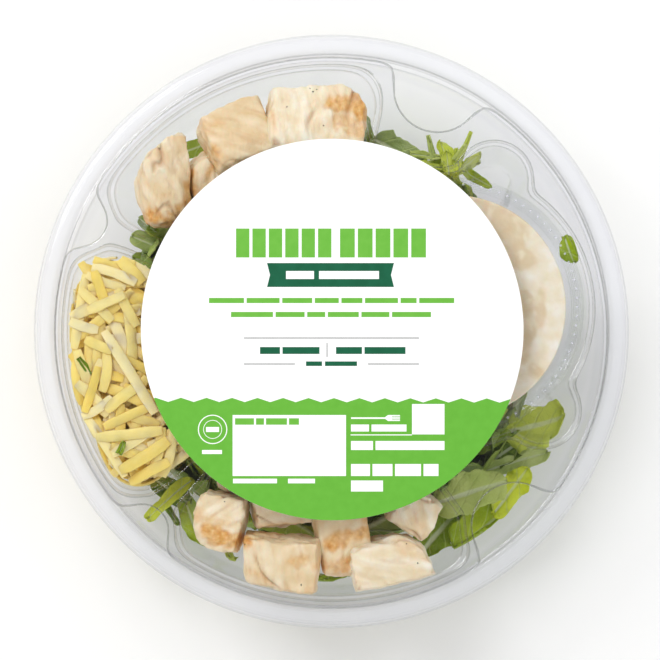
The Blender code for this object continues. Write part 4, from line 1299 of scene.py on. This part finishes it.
CELL = 0.6 * MM
WEST, SOUTH, WIDE, HIGH = -82 * MM, -52 * MM, 56 * MM, 82 * MM
columns, rows = int(WIDE / CELL), int(HIGH / CELL)
grid_x, grid_y = np.meshgrid(WEST + CELL * np.arange(columns), SOUTH + CELL * np.arange(rows), indexing="ij")
heap = np.full(grid_x.shape, DECK - 17.0 * MM)
for depth, inset in HEAP_LEVELS:
    inside = wedge_edge("cheese", grid_x, grid_y, depth * MM) < -inset * MM
    heap[inside] = DECK - depth * MM


def heights(x, y):
    """The cells under some places, and how high the heap is there."""
    i = np.clip(((x - WEST) / CELL).round().astype(int), 0, columns - 1)
    j = np.clip(((y - SOUTH) / CELL).round().astype(int), 0, rows - 1)
    return i, j, heap[i, j]


# %% The cheese: where a shred comes to rest

SLOPES = np.linspace(-0.55, 0.55, 23)
STEEPEST, LIMP = 0.6, 0.85
WALL_ROOM = 0.8 * MM


def lay_shred(middle, heading, length, width, thick, top_limit):
    """The strip's points where it rests, or None if it would leave the well or touch the lid."""
    along = np.linspace(-length / 2, length / 2, 25)
    across = np.linspace(-width / 2, width / 2, 5)
    way = np.array([math.cos(heading), math.sin(heading)])
    side = np.array([-way[1], way[0]])
    x = middle[0] + along[:, None] * way[0] + across * side[0]
    y = middle[1] + along[:, None] * way[1] + across * side[1]
    i, j, under = heights(x, y)
    line = np.sort(under, axis=1)[:, 3]
    rests = [(line - slope * along).max() for slope in SLOPES]
    best = int(np.argmin(rests))
    stiff = rests[best] + SLOPES[best] * along
    sagging = (line[None, :] - STEEPEST * np.abs(along[:, None] - along[None, :])).max(axis=1)
    level = (1 - LIMP) * stiff + LIMP * sagging
    level = np.convolve(np.pad(level, 3, mode="edge"), np.full(7, 1 / 7), mode="valid")
    depth = np.clip(DECK - level, 0, WELL_DEPTH)
    too_high = (level + thick).max() > top_limit
    if too_high or (wedge_edge("cheese", x, y, depth[:, None]) > -WALL_ROOM).any():
        return None
    heap[i, j] = np.maximum(heap[i, j], (level + 0.55 * thick)[:, None])
    places = zip(along[::4], level[::4])
    return [(middle[0] + t * way[0], middle[1] + t * way[1], z + thick / 2) for t, z in places]


# %% [markdown]
# Most shreds are thrown at random over the well, and one that would stick out is thrown again. The last few
# lie where the photo shows them: their ends and width are read from the picture, in pixels.

# %% The cheese: loose shreds

WANTED, TRIES = 330, 5000
HEAP_TOP, LID_ROOM = 53.0 * MM, 55.6 * MM
dice = random.Random(41)
shreds = []
for _ in range(TRIES):
    if len(shreds) >= WANTED:
        break
    turn, out = math.radians(dice.uniform(160, 222)), math.sqrt(dice.uniform(34 ** 2, 79 ** 2)) * MM
    middle = (out * math.cos(turn), out * math.sin(turn))
    length, width = dice.uniform(12, 24) * MM, dice.uniform(2.6, 3.6) * MM
    heading, thick = dice.uniform(0, math.pi), dice.uniform(0.9, 1.2) * MM
    laid = lay_shred(middle, heading, length, width, thick, HEAP_TOP)
    if laid:
        shreds.append((laid, width))
print("loose shreds laid:", len(shreds))

# %% The cheese: shreds that the photo shows on top

# each shred's two ends and its width
BY_HAND = (
    ((120, 260), (142, 284), 13), ((92, 268), (136, 284), 10), ((80, 290), (112, 322), 10),
    ((70, 322), (98, 331), 10), ((94, 272), (106, 306), 10), ((117, 290), (137, 327), 10),
    ((88, 312), (124, 296), 10), ((82, 417), (112, 398), 9), ((97, 366), (82, 415), 9),
    ((106, 352), (102, 392), 10), ((106, 412), (140, 386), 11), ((104, 428), (148, 408), 10),
    ((112, 455), (150, 432), 10), ((96, 438), (162, 431), 11), ((120, 471), (168, 441), 12),
    ((85, 340), (112, 352), 10), ((104, 332), (155, 414), 11),
)
THICK = 1.2 * MM
for start, end, wide in BY_HAND:
    a, b = (Vector(picture_place(*p, 50 * MM)) for p in (start, end))
    along, width = b - a, wide * PIXEL
    heading = math.atan2(along.y, along.x)
    for shorter in (1.0, 0.93, 0.86, 0.78, 0.7):
        middle = (a + b) / 2 - centre.normalized() * (1 - shorter) * 8 * MM
        laid = lay_shred(middle, heading, along.length * shorter, width, THICK, LID_ROOM)
        if laid:
            shreds.append((laid, width))
            break
print("all shreds laid:", len(shreds))

# %% [markdown]
# Shreds also press flat against the clear wall of their well, where the pack's side shows them. They are
# laid in two layers, each on a map of arc and depth that keeps them from running through one another.

# %% The cheese: shreds against the wall

AROUND = 360
TOPMOST, LOWEST, MARGIN = 3.8, 17.0, 1.2


def against_wall(inset, wanted):
    """Shreds that lie flat on the well's wall, that far in from it."""
    top, bottom = (
        outline_of(lambda x, y: wedge_edge("cheese", x, y, depth * MM), centre, -inset, AROUND)
        for depth in (TOPMOST, LOWEST)
    )
    steps = np.linalg.norm(np.roll(top, -1, axis=0) - top, axis=1)
    arc = np.append(0.0, steps.cumsum())
    taken = np.zeros((int(arc[-1] / MM) + 1, int(LOWEST) + 3), bool)
    laid = []
    for _ in range(wanted * 12):
        if len(laid) >= wanted:
            break
        length, width = dice.uniform(9, 19) * MM, dice.uniform(2.4, 3.2) * MM
        rise = dice.uniform(-0.6, 0.6)
        s = dice.uniform(0, arc[-1]) + np.linspace(0, length, 7)
        depth = dice.uniform(TOPMOST + 1.5, LOWEST - 1.5) * MM + np.linspace(-0.5, 0.5, 7) * rise * length
        if depth.min() < (TOPMOST + MARGIN) * MM or depth.max() > (LOWEST - MARGIN) * MM:
            continue
        cells = ((s / MM).astype(int) % len(taken), (depth / MM).astype(int))
        if taken[cells].sum() > 1:
            continue
        for off in (-1, 0, 1):
            taken[cells[0], cells[1] + off] = True
        at = np.interp(s % arc[-1], arc, np.arange(AROUND + 1))
        share = ((depth / MM - TOPMOST) / (LOWEST - TOPMOST))[:, None]
        low, part = at.astype(int) % AROUND, (at % 1)[:, None]
        high = (low + 1) % AROUND
        place = (top[low] * (1 - part) + top[high] * part) * (1 - share)
        place += (bottom[low] * (1 - part) + bottom[high] * part) * share
        laid.append(([(*p, DECK - d) for p, d in zip(place, depth)], width))
    return laid


flat_on_wall = against_wall(2.6 * MM, 70) + against_wall(1.3 * MM, 60)
print("shreds against the wall:", len(flat_on_wall))

# %% [markdown]
# The laid lines become strips in Geometry Nodes: each line is a curve, with its own roll and breadth at
# each point, and one small cross-section with blunted corners is drawn along all of them.

# %% The cheese: the node tree for the strips

FLATNESS = 0.3
tree, given = node_group("cheese_shreds", Flatness=FLATNESS)
roll_of, breadth_of = (
    add(tree, "InputNamedAttribute", {"data_type": "FLOAT"}, Name=name) for name in ("roll", "breadth")
)
lines = add(tree, "MeshToCurve", Mesh=given["Geometry"])
upright = add(tree, "SetCurveNormal", {"mode": "Z_UP"}, Curve=lines)
rolled = add(tree, "SetCurveTilt", Curve=upright, Tilt=roll_of)
cut = add(tree, "CurvePrimitiveQuadrilateral", Width=1.0, Height=given["Flatness"])
edged = add(tree, "FilletCurve", {"mode": "POLY"}, Curve=cut, Count=1, Radius=0.06)
strips = add(tree, "CurveToMesh", Curve=rolled, Profile_Curve=edged, Scale=breadth_of, Fill_Caps=True)
soft = add(tree, "SetShadeSmooth", Geometry=strips, Shade_Smooth=True)
real = add(tree, "RealizeInstances", Geometry=soft)
add(tree, "NodeGroupOutput", Geometry=add(tree, "SetMaterial", Geometry=real, Material=shredded))

# %% The cheese: the lines and the finished heap

points, edges, roll, breadth, tones, deep_glow_shares = [], [], [], [], [], []
for number, (spots, width) in enumerate(shreds + flat_on_wall):
    lean, light, bow = dice.gauss(0, 0.12), dice.random(), dice.gauss(0, 0.5) * MM
    if number >= len(shreds):
        lean, bow = lean + math.pi / 2, 0.0
    way = Vector(spots[-1]) - Vector(spots[0])
    side = Vector((-way.y, way.x, 0)).normalized()
    for k, spot in enumerate(spots):
        t = k / (len(spots) - 1)
        if k:
            edges.append((len(points) - 1, len(points)))
        points.append(Vector(spot) + side * bow * math.sin(math.pi * t))
        roll.append(lean)
        blunt = min(1.0, 5 * t + 0.72, 5 * (1 - t) + 0.8)
        breadth.append(width * blunt * dice.uniform(0.95, 1.05))
        tones.append(light)
        # Painted amber glow and shade: the first shreds laid lie deepest and get the most.
        deep_glow_shares.append(0.7 * (1 - min(1.0, number / len(shreds))) ** 2)
mesh = bpy.data.meshes.new("shred_lines")
mesh.from_pydata(points, edges, [])
strands = bpy.data.objects.new("cheese_shreds", mesh)
bpy.context.scene.collection.objects.link(strands)
for key, values in (("roll", roll), ("breadth", breadth), ("hue", tones), ("sunk", deep_glow_shares)):
    give(strands, key, values)
strands = grown(strands, tree, shredded, Flatness=FLATNESS)
cheese = joined("shredded_cheese_heap", [cheese_core, strands])
settle(cheese, "shredded_cheese", "cheese")

# %% [markdown]
# Cut romaine fills the bowl. A leaf is a thin sheet with a thick pale rib, ruffled edges and blisters
# between slanting side veins. Leaves press flat against the bowl's wall and the underside of the wells,
# so every leaf is laid as a plain surface first, pushed inside that room, and only then given thickness.

# %% The room for the lettuce

# (height, radius) in mm: the heap's own side, and the bowl's inner wall
HEAP_SIDE = ((0.0, 52.0), (9.0, 61.0), (20.0, 64.0), (30.0, 63.0), (39.5, 58.0))
BOWL_INSIDE = ((0.0, 50.0), (1.8, 52.0), (4.2, 64.0), (34.8, 77.9), (36.2, 79.4), (46.7, 81.2), (60.0, 81.2))
SPAN = 84
axis = np.arange(-SPAN, SPAN + 1) * MM
plan_x, plan_y = np.meshgrid(axis, axis, indexing="ij")
underside = np.full(plan_x.shape, DECK - TRAY_WALL)
for depth in np.linspace(0, WELL_DEPTH, 25):
    for name in WELLS:
        underside[well_edge(name, plan_x, plan_y, depth) < 0.2 * MM] = DECK - depth - TRAY_WALL
underside -= 1.1 * MM
print("lowest tray:", round(underside.min() / MM, 1), "mm")


def tray_above(x, y):
    """The height of the tray's underside over a place, less the room for a leaf."""
    i, j = np.clip(x / MM + SPAN, 0, 2 * SPAN - 1.001), np.clip(y / MM + SPAN, 0, 2 * SPAN - 1.001)
    a, b = i.astype(int), j.astype(int)
    s, t = i - a, j - b
    low = underside[a, b] * (1 - s) + underside[a + 1, b] * s
    high = underside[a, b + 1] * (1 - s) + underside[a + 1, b + 1] * s
    return low * (1 - t) + high * t


def kept_in(points, walls=BOWL_INSIDE):
    """The points pushed inside those walls, under the tray and off the bowl's floor."""
    x, y, z = points[..., 0], points[..., 1], points[..., 2]
    z = np.minimum(np.maximum(z, 3.2 * MM), tray_above(x, y))
    room = np.interp(z / MM, *zip(*walls)) * MM - 1.3 * MM
    pull = np.minimum(1.0, room / np.maximum(np.hypot(x, y), 1e-6))
    return np.stack([x * pull, y * pull, z], axis=-1)


# %% [markdown]
# A leaf's material reads the leaf's own coordinates, which every vertex carries along: where it was on the
# flat leaf, how far across and how far along. So the veins stay on the leaf however it is bent.

# %% Romaine leaf: its veins

# Fresh wet leaf: fresh green that glows a little yellow with the light behind it, paler veins and rib.
romaine, tree = new_material("romaine_leaf")
across, along, bright, pale = (
    add(tree, "Attribute", {"attribute_name": name}).outputs["Fac"]
    for name in ("across", "along", "bright", "pale")
)
flat = add(tree, "Attribute", {"attribute_name": "flat_place"}).outputs["Vector"]
xyz = add(tree, "SeparateXYZ", Vector=flat)
SMOOTH = {"interpolation_type": "SMOOTHSTEP"}
VEIN_SPACING, VEIN_SLANT = 6.2 * MM, 1.1

# Side veins: lines that slant away from the rib and wander a little.
wander = add(tree, "TexNoise", Vector=flat, Scale=per_mm(7.0), Detail=2.0)
out_from_rib = add(tree, "Math", {"operation": "ABSOLUTE"}, i0=xyz.outputs[1])
slant = add(tree, "Math", {"operation": "MULTIPLY_ADD"}, i0=out_from_rib, i1=-VEIN_SLANT, i2=xyz.outputs[0])
slant = add(tree, "Math", {"operation": "MULTIPLY_ADD"}, i0=wander, i1=3.5 * MM, i2=slant)
phase = add(tree, "Math", {"operation": "DIVIDE"}, i0=slant, i1=VEIN_SPACING)
phase = add(tree, "Math", {"operation": "FRACT"}, i0=phase)
off_vein = add(tree, "Math", {"operation": "SUBTRACT"}, i0=phase, i1=0.5)
off_vein = add(tree, "Math", {"operation": "ABSOLUTE"}, i0=off_vein)
side_vein = add(tree, "MapRange", SMOOTH, Value=off_vein, From_Min=0.09, From_Max=0.0)

# Between them a net of fine veins, and down the middle the rib, which fades towards the tip.
cells = add(tree, "TexVoronoi", {"feature": "DISTANCE_TO_EDGE"}, Vector=flat, Scale=per_mm(1.9))
net = add(tree, "MapRange", SMOOTH, Value=cells, From_Min=0.09, From_Max=0.0)
from_rib = add(tree, "Math", {"operation": "ABSOLUTE"}, i0=across)
rib = add(tree, "MapRange", SMOOTH, Value=from_rib, From_Min=0.17, From_Max=0.05)
fading = add(tree, "Math", {"operation": "MULTIPLY_ADD"}, i0=along, i1=-0.65, i2=1.0)
rib = add(tree, "Math", {"operation": "MULTIPLY"}, i0=rib, i1=fading)

# %% [markdown]
# The veins lighten the green where they run, and stand a little proud. A share of light passes right
# through, which is what makes a leaf look fresh and not painted.

# %% Romaine leaf: its colours and its glow

patchy = add(tree, "TexNoise", Vector=flat, Scale=per_mm(9.0), Detail=4.0)
level = add(tree, "Math", {"operation": "MULTIPLY_ADD"}, i0=patchy, i1=0.5, i2=bright)
leaf_stops = ((0.25, "#405604"), (0.44, "#6C8A07"), (0.66, "#A3BD12"), (0.93, "#D9E53A"))
green = add(tree, "ValToRGB", {"stops": leaf_stops}, Fac=level)
wan = add(tree, "ValToRGB", {"stops": ((0.3, "#AFC27E"), (0.7, "#D3DDB0"))}, Fac=patchy)
blade = add(tree, "Mix", RGBA, i0=pale, i6=green, i7=wan)
side_share = add(tree, "Math", {"operation": "MULTIPLY"}, i0=side_vein, i1=0.5)
net_share = add(tree, "Math", {"operation": "MULTIPLY"}, i0=net, i1=0.22)
veined = add(tree, "Mix", RGBA, i0=side_share, i6=blade, i7="#C8D880")
veined = add(tree, "Mix", RGBA, i0=net_share, i6=veined, i7="#BFD060")
whole = add(tree, "Mix", RGBA, i0=rib, i6=veined, i7="#E2EAC2")
relief = add(tree, "Math", {"operation": "MULTIPLY_ADD"}, i0=net, i1=0.45, i2=side_vein)
bumps = add(tree, "Bump", {"invert": True}, Strength=0.5, Distance=0.4 * MM, Height=relief)
skin = add(
    tree, "BsdfPrincipled", Base_Color=whole, Roughness=0.4, Normal=bumps, Specular_IOR_Level=0.3,
)
lit = add(tree, "Mix", RGBA, i0=0.4, i6=whole, i7="#C4D830")
glow = add(tree, "BsdfTranslucent", Color=lit, Normal=bumps)
add(tree, "OutputMaterial", Surface=add(tree, "MixShader", Fac=0.18, i1=skin, i2=glow))

# %% [markdown]
# One leaf is a grid of points in its own plane: an outline that narrows to both ends, torn by noise, then
# cupped, bent, ruffled along its edges and blistered between its veins.

# %% One leaf's surface

FINE, COARSE = (34, 21), (24, 15)


def leaf_surface(length, width, seed, grid=FINE, cup=0.12, ruffle=1.0, bend=0.06, torn=0.12, point=0.0):
    """(points, along, across) of a leaf in its own plane, its tip along +X. point narrows the tip."""
    pick = np.random.default_rng(seed)
    u, v = np.meshgrid(np.linspace(0, 1, grid[0]), np.linspace(-1, 1, grid[1]), indexing="ij")
    half = width / 2 * (0.72 + 0.28 * np.sin(math.pi * np.clip(u * 0.9 + 0.1, 0, 1)))
    half = half * (1 - np.abs(2 * u - 1) ** 7) ** 0.5 * (1 - point * u ** 1.5) + 0.02 * width
    for side in (-1, 1):
        coarse = [noise.noise(Vector((t * length * 160, seed * 3.7, side * 5.1))) for t in u[:, 0]]
        fine = [noise.noise(Vector((t * length * 520, seed * 1.3, side * 9.1))) for t in u[:, 0]]
        jag = np.array(coarse) + 0.6 * np.array(fine)
        half[:, (v[0] * side) > 0] *= 1 + torn * jag[:, None] * 1.6
    x = (u - 0.5) * length
    y = v * half
    edge = np.abs(v) ** 2.2
    z = cup * np.abs(y) ** 1.5 / math.sqrt(width / 2) - bend * length * (2 * u - 1) ** 2
    for side in (-1, 1):
        waves, shift = pick.uniform(0.10, 0.16), pick.uniform(0, 6.28)
        run = u * length / MM * waves
        flow = np.sin(run * 2.6 + shift) + 0.6 * np.sin(run * 6.1 + 2 * shift)
        z = z + (v * side > 0) * edge * flow * ruffle * 1.1 * MM * (0.5 + u)
        x = x + (v * side > 0) * edge * np.cos(run * 4.3 + shift) * ruffle * 0.6 * MM
    vein = (x - VEIN_SLANT * np.abs(y)) / VEIN_SPACING
    z = z + np.sin(math.pi * vein * 2) * 0.28 * MM * np.abs(v) * (1 - edge * 0.6) * ruffle
    z = z - 0.7 * MM * np.exp(-(v / 0.13) ** 2) * (1 - 0.6 * u)
    return np.stack([x, y, z], axis=-1), u, v


def sheet_faces(rows, columns):
    """The faces of a closed sheet: a grid of points, the same grid again under it, and the edge between."""
    count, faces = rows * columns, []
    for k in (a * columns + b for a in range(rows - 1) for b in range(columns - 1)):
        faces.append((k, k + columns, k + columns + 1, k + 1))
        faces.append((count + k, count + k + 1, count + k + columns + 1, count + k + columns))
    number = np.arange(count).reshape(rows, columns)
    border = [*number[0, :-1], *number[:-1, -1], *number[-1, :0:-1], *number[:0:-1, 0]]
    return faces + [(a, b, count + b, count + a) for a, b in zip(border, border[1:] + border[:1])]


# %% [markdown]
# Laying a leaf means turning its surface, moving it to its place and pushing it inside its room. Only then
# is it given thickness, along its own normals: thick at the rib, thin at the edge.

# %% One leaf laid down


def laid_leaf(middle, size, turns, seed, bright, pale=0.0, walls=BOWL_INSIDE, grid=FINE, **shape):
    """Everything the joined mesh needs from one leaf: points, faces and its numbers."""
    surface, u, v = leaf_surface(size[0] * MM, size[1] * MM, seed, grid, **shape)
    heading, pitch, roll = (math.radians(t) for t in turns)
    turn = np.array(Euler((roll, -pitch, heading)).to_matrix())
    world = surface @ turn.T + np.array(middle) * MM
    world = kept_in(world, walls) if walls else world
    lengthwise, sidewise = np.gradient(world, axis=0), np.gradient(world, axis=1)
    normal = np.cross(lengthwise, sidewise)
    normal /= np.maximum(np.linalg.norm(normal, axis=-1, keepdims=True), 1e-12)
    thick = (0.42 + 1.1 * np.exp(-(v / 0.15) ** 2) * (1 - 0.7 * u)) * MM
    thick = thick * (1 - 0.6 * np.abs(v) ** 8)
    lower = world - normal * thick[..., None]
    points = np.concatenate([world.reshape(-1, 3), lower.reshape(-1, 3)])
    count = u.size
    numbers = {
        "across": np.tile(v.ravel(), 2),
        "along": np.tile(u.ravel(), 2),
        "bright": np.full(2 * count, 0.7 * bright),
        "pale": np.full(2 * count, pale),
        "flat_place": np.tile(surface.reshape(-1, 3) + seed * 0.11, (2, 1)),
    }
    return points, sheet_faces(*u.shape), numbers


def leaf_bunch(name, leaves):
    """One closed-sheet mesh from laid leaves."""
    faces, first = [], 0
    for spots, sides, _ in leaves:
        faces += [tuple(k + first for k in side) for side in sides]
        first += len(spots)
    made = piece(name, np.concatenate([spots for spots, _, _ in leaves]), faces, [romaine])
    for key in leaves[0][2]:
        give(made, key, np.concatenate([numbers[key] for _, _, numbers in leaves]))
    return made


# %% [markdown]
# The heap's middle shows at most in the gaps between its leaves, so a rumpled core fills it, painted dark for
# the shade in those gaps. It is a turned mound, pushed under the tray like the leaves are.

# %% The lettuce: its core

# (radius, height) in mm
MOUND = (
    (0.0, 3.2), (40.0, 3.2), (50.0, 3.6), (54.0, 9.0), (55.5, 20.0), (54.5, 30.0), (51.0, 37.0), (44.0, 39.0),
    (0.0, 39.0),
)
outline = []
for a, b in zip(MOUND, MOUND[1:]):
    parts = max(1, int(math.dist(a, b) / 2.0))
    outline += [Vector(a).lerp(Vector(b), k / parts) * MM for k in range(parts)]
outline.append(Vector(MOUND[-1]) * MM)
core = lathe("romaine_core", outline, romaine, steps=140)
spots = kept_in(points_of(core))
spots[:, 2] = np.minimum(spots[:, 2], tray_above(spots[:, 0], spots[:, 1]) - 0.8 * MM)
rumple = rough(spots, 9.0, 5.0) * 1.6 * MM
spots[:, :2] *= 1 + (rumple / np.maximum(np.hypot(spots[:, 0], spots[:, 1]), 5 * MM))[:, None]
move_points(core, spots)
give(core, "across", rough(spots, 12.0, 8.0) * 1.2)
give(core, "along", np.full(len(spots), 0.9))
# Painted shade: the core gets the darkest green, for the gaps between the leaves.
give(core, "bright", np.full(len(spots), 0.1))
give(core, "pale", np.zeros(len(spots)))
give(core, "flat_place", spots)

# %% [markdown]
# Loose leaves stand round the core where the bowl's clear side shows them. The golden angle spreads them
# evenly without a pattern, and each leans, turns and bends by chance from a fixed seed.

# %% The lettuce: loose leaves

LOOSE_LEAVES = 84
GOLDEN = 0.61803
toss = random.Random(17)
loose = []
for number in range(LOOSE_LEAVES):
    turn = 2 * math.pi * (number * GOLDEN % 1.0)
    height = 5.0 + 30.0 * ((number * 0.37) % 1.0)
    out = float(np.interp(height, [3, 9, 20, 30, 38], [52, 56, 59.5, 58, 50])) + toss.uniform(-2.0, 2.5)
    middle = (out * math.cos(turn), out * math.sin(turn), height)
    spin = toss.choice((0, 0, 25, -25, 60, -60, 90)) + toss.gauss(0, 15)
    facing = Euler((math.radians(90 + toss.gauss(0, 14)), 0, 0)).to_matrix()
    way = Euler((0, 0, turn + math.pi / 2)).to_matrix() @ facing @ Euler((0, 0, math.radians(spin))).to_matrix()
    tilts = way.to_euler("XYZ")
    angles = (math.degrees(tilts.z), -math.degrees(tilts.y), math.degrees(tilts.x))
    size = (toss.uniform(26, 44), toss.uniform(14, 26))
    tone, wan = min(1.0, max(0.05, toss.gauss(0.45, 0.22))), max(0.0, toss.gauss(0.1, 0.25))
    bend = toss.uniform(-0.14, 0.02)
    looks = (100 + number, tone, min(wan, 0.8), HEAP_SIDE, COARSE)
    loose.append(laid_leaf(middle, size, angles, *looks, bend=bend))
print("loose leaves:", len(loose))

# %% [markdown]
# The leaves that show from above are placed one by one. Each row of the table is a leaf: where its foot and
# tip are in the picture, how wide it is there, how high it lies, and how it looks.

# %% The leaves that show from above


def drawn_leaf(start, end, wide, height, tilts, seed, bright, pale=0.0, **shape):
    """A leaf from its foot to its tip in picture pixels, wide pixels across, at that height in mm."""
    foot, tip = (Vector(picture_place(*p, height * MM)) for p in (start, end))
    way = tip - foot
    middle = (*(tip + foot) / 2 / MM, height)
    turns = (math.degrees(math.atan2(way.y, way.x)), *tilts)
    return laid_leaf(middle, (way.length / MM, wide * PIXEL / MM), turns, seed, bright, pale, **shape)


FRILL = {"ruffle": 1.3, "torn": 0.45}
SPIKE = {"point": 0.9, "ruffle": 0.4, "torn": 0.3}
IN_WELL = {"walls": None, "ruffle": 0.4, "torn": 0.35}

# foot and tip in pixels, width in pixels, height in mm, pitch and roll, how bright, how pale, shape
SHOWN = (
    ((172, 155), (210, 141), 17, 33, (4, 0), 0.55, 0.1, {"cup": 0.3}),
    ((196, 190), (150, 232), 22, 29, (0, 0), 0.35, 0.0, {}),
    ((139, 217), (168, 240), 14, 33, (4, 8), 0.4, 0.05, {}),
    ((132, 236), (164, 250), 17, 29, (0, 0), 0.5, 0.55, {}),
    ((133, 258), (165, 266), 16, 25, (0, 0), 0.4, 0.1, {}),
    ((366, 116), (371, 150), 10, 36, (0, 0), 0.4, 0.0, FRILL),
    ((372, 138), (422, 164), 26, 39, (2, 4), 0.25, 0.5, FRILL),
    ((410, 154), (448, 158), 9, 41, (4, 10), 0.9, 0.5, SPIKE),
    ((414, 162), (452, 170), 9, 40, (4, -6), 0.9, 0.15, SPIKE),
    ((408, 158), (470, 198), 26, 38, (0, 0), 0.75, 0.0, FRILL),
    ((456, 186), (441, 142), 14, 41, (4, 6), 1.0, 0.1, FRILL),
    ((450, 184), (446, 150), 10, 42, (4, -12), 1.1, 0.2, FRILL),
    ((456, 168), (472, 132), 6, 42, (6, 20), 1.0, 0.25, SPIKE),
    ((455, 160), (466, 144), 4, 43, (6, 0), 1.1, 0.5, SPIKE),
    ((434, 160), (428, 135), 6, 42, (6, 0), 0.9, 0.6, SPIKE),
    ((460, 172), (456, 148), 6, 42, (6, 0), 1.0, 0.2, SPIKE),
    ((456, 174), (480, 153), 7, 41, (4, 8), 1.0, 0.1, FRILL),
    ((462, 170), (482, 158), 5, 42, (4, 8), 1.1, 0.2, SPIKE),
    ((450, 160), (494, 184), 12, 38, (0, -6), 0.65, 0.0, {"ruffle": 0.6, "point": 0.3}),
    ((564, 237), (573, 262), 17, 45, (0, 20), 0.5, 0.0, {"walls": None, "torn": 0.0, "cup": 0.2}),
    ((495, 436), (569, 416), 46, 30, (6, 8), 0.95, 0.2, {"ruffle": 1.9, "torn": 0.2}),
    ((484, 466), (528, 436), 26, 28, (4, -8), 0.2, 0.0, {"ruffle": 1.5}),
    ((486, 470), (548, 452), 17, 30, (2, -4), 0.8, 0.65, FRILL),
    ((462, 452), (512, 424), 24, 29, (2, 0), 0.45, 0.1, {"ruffle": 1.4}),
    ((555, 450), (568, 440), 8, 26, (0, 0), 0.4, 0.0, FRILL),
    ((436, 503), (507, 481), 40, 38, (4, 6), 0.8, 0.5, {"torn": 0.25}),
    ((494, 514), (528, 468), 26, 34, (4, 8), 0.95, 0.0, {"ruffle": 1.8}),
    ((456, 552), (530, 494), 52, 30, (2, 6), 0.6, 0.0, {"ruffle": 1.5}),
    ((418, 556), (466, 500), 40, 26, (0, 0), 0.4, 0.0, {}),
    ((192, 477), (137, 527), 17, 36, (6, 20), 1.3, 0.1, {"point": 0.5, "ruffle": 0.7}),
    ((150, 476), (190, 504), 22, 28, (0, 0), 0.2, 0.0, {}),
    ((184, 496), (202, 552), 20, 28, (0, 0), 0.6, 0.05, {}),
    ((168, 508), (178, 524), 8, 30, (0, 0), 0.3, 0.0, FRILL),
    ((112, 493), (150, 480), 13, 20, (0, 0), 0.6, 0.9, {}),
    ((225, 546), (234, 564), 7, 27, (0, 0), 0.8, 0.3, FRILL),
    ((316, 584), (352, 572), 12, 27, (0, 0), 0.4, 0.0, FRILL),
    ((79, 358), (90, 374), 5, 53, (0, 0), 0.2, 0.0, IN_WELL),
    ((119, 453), (124, 442), 6, 55, (0, 0), 0.4, 0.0, IN_WELL),
)
shown = [
    drawn_leaf(foot, tip, wide, height, tilts, 300 + k, tone, wan, **shape)
    for k, (foot, tip, wide, height, tilts, tone, wan, shape) in enumerate(SHOWN)
]

# %% The finished lettuce

lettuce = joined("romaine_heap", [core, leaf_bunch("loose_leaves", loose)])
settle(lettuce, "romaine", "lettuce")
settle(leaf_bunch("shown_romaine_leaves", shown), "romaine", "lettuce")
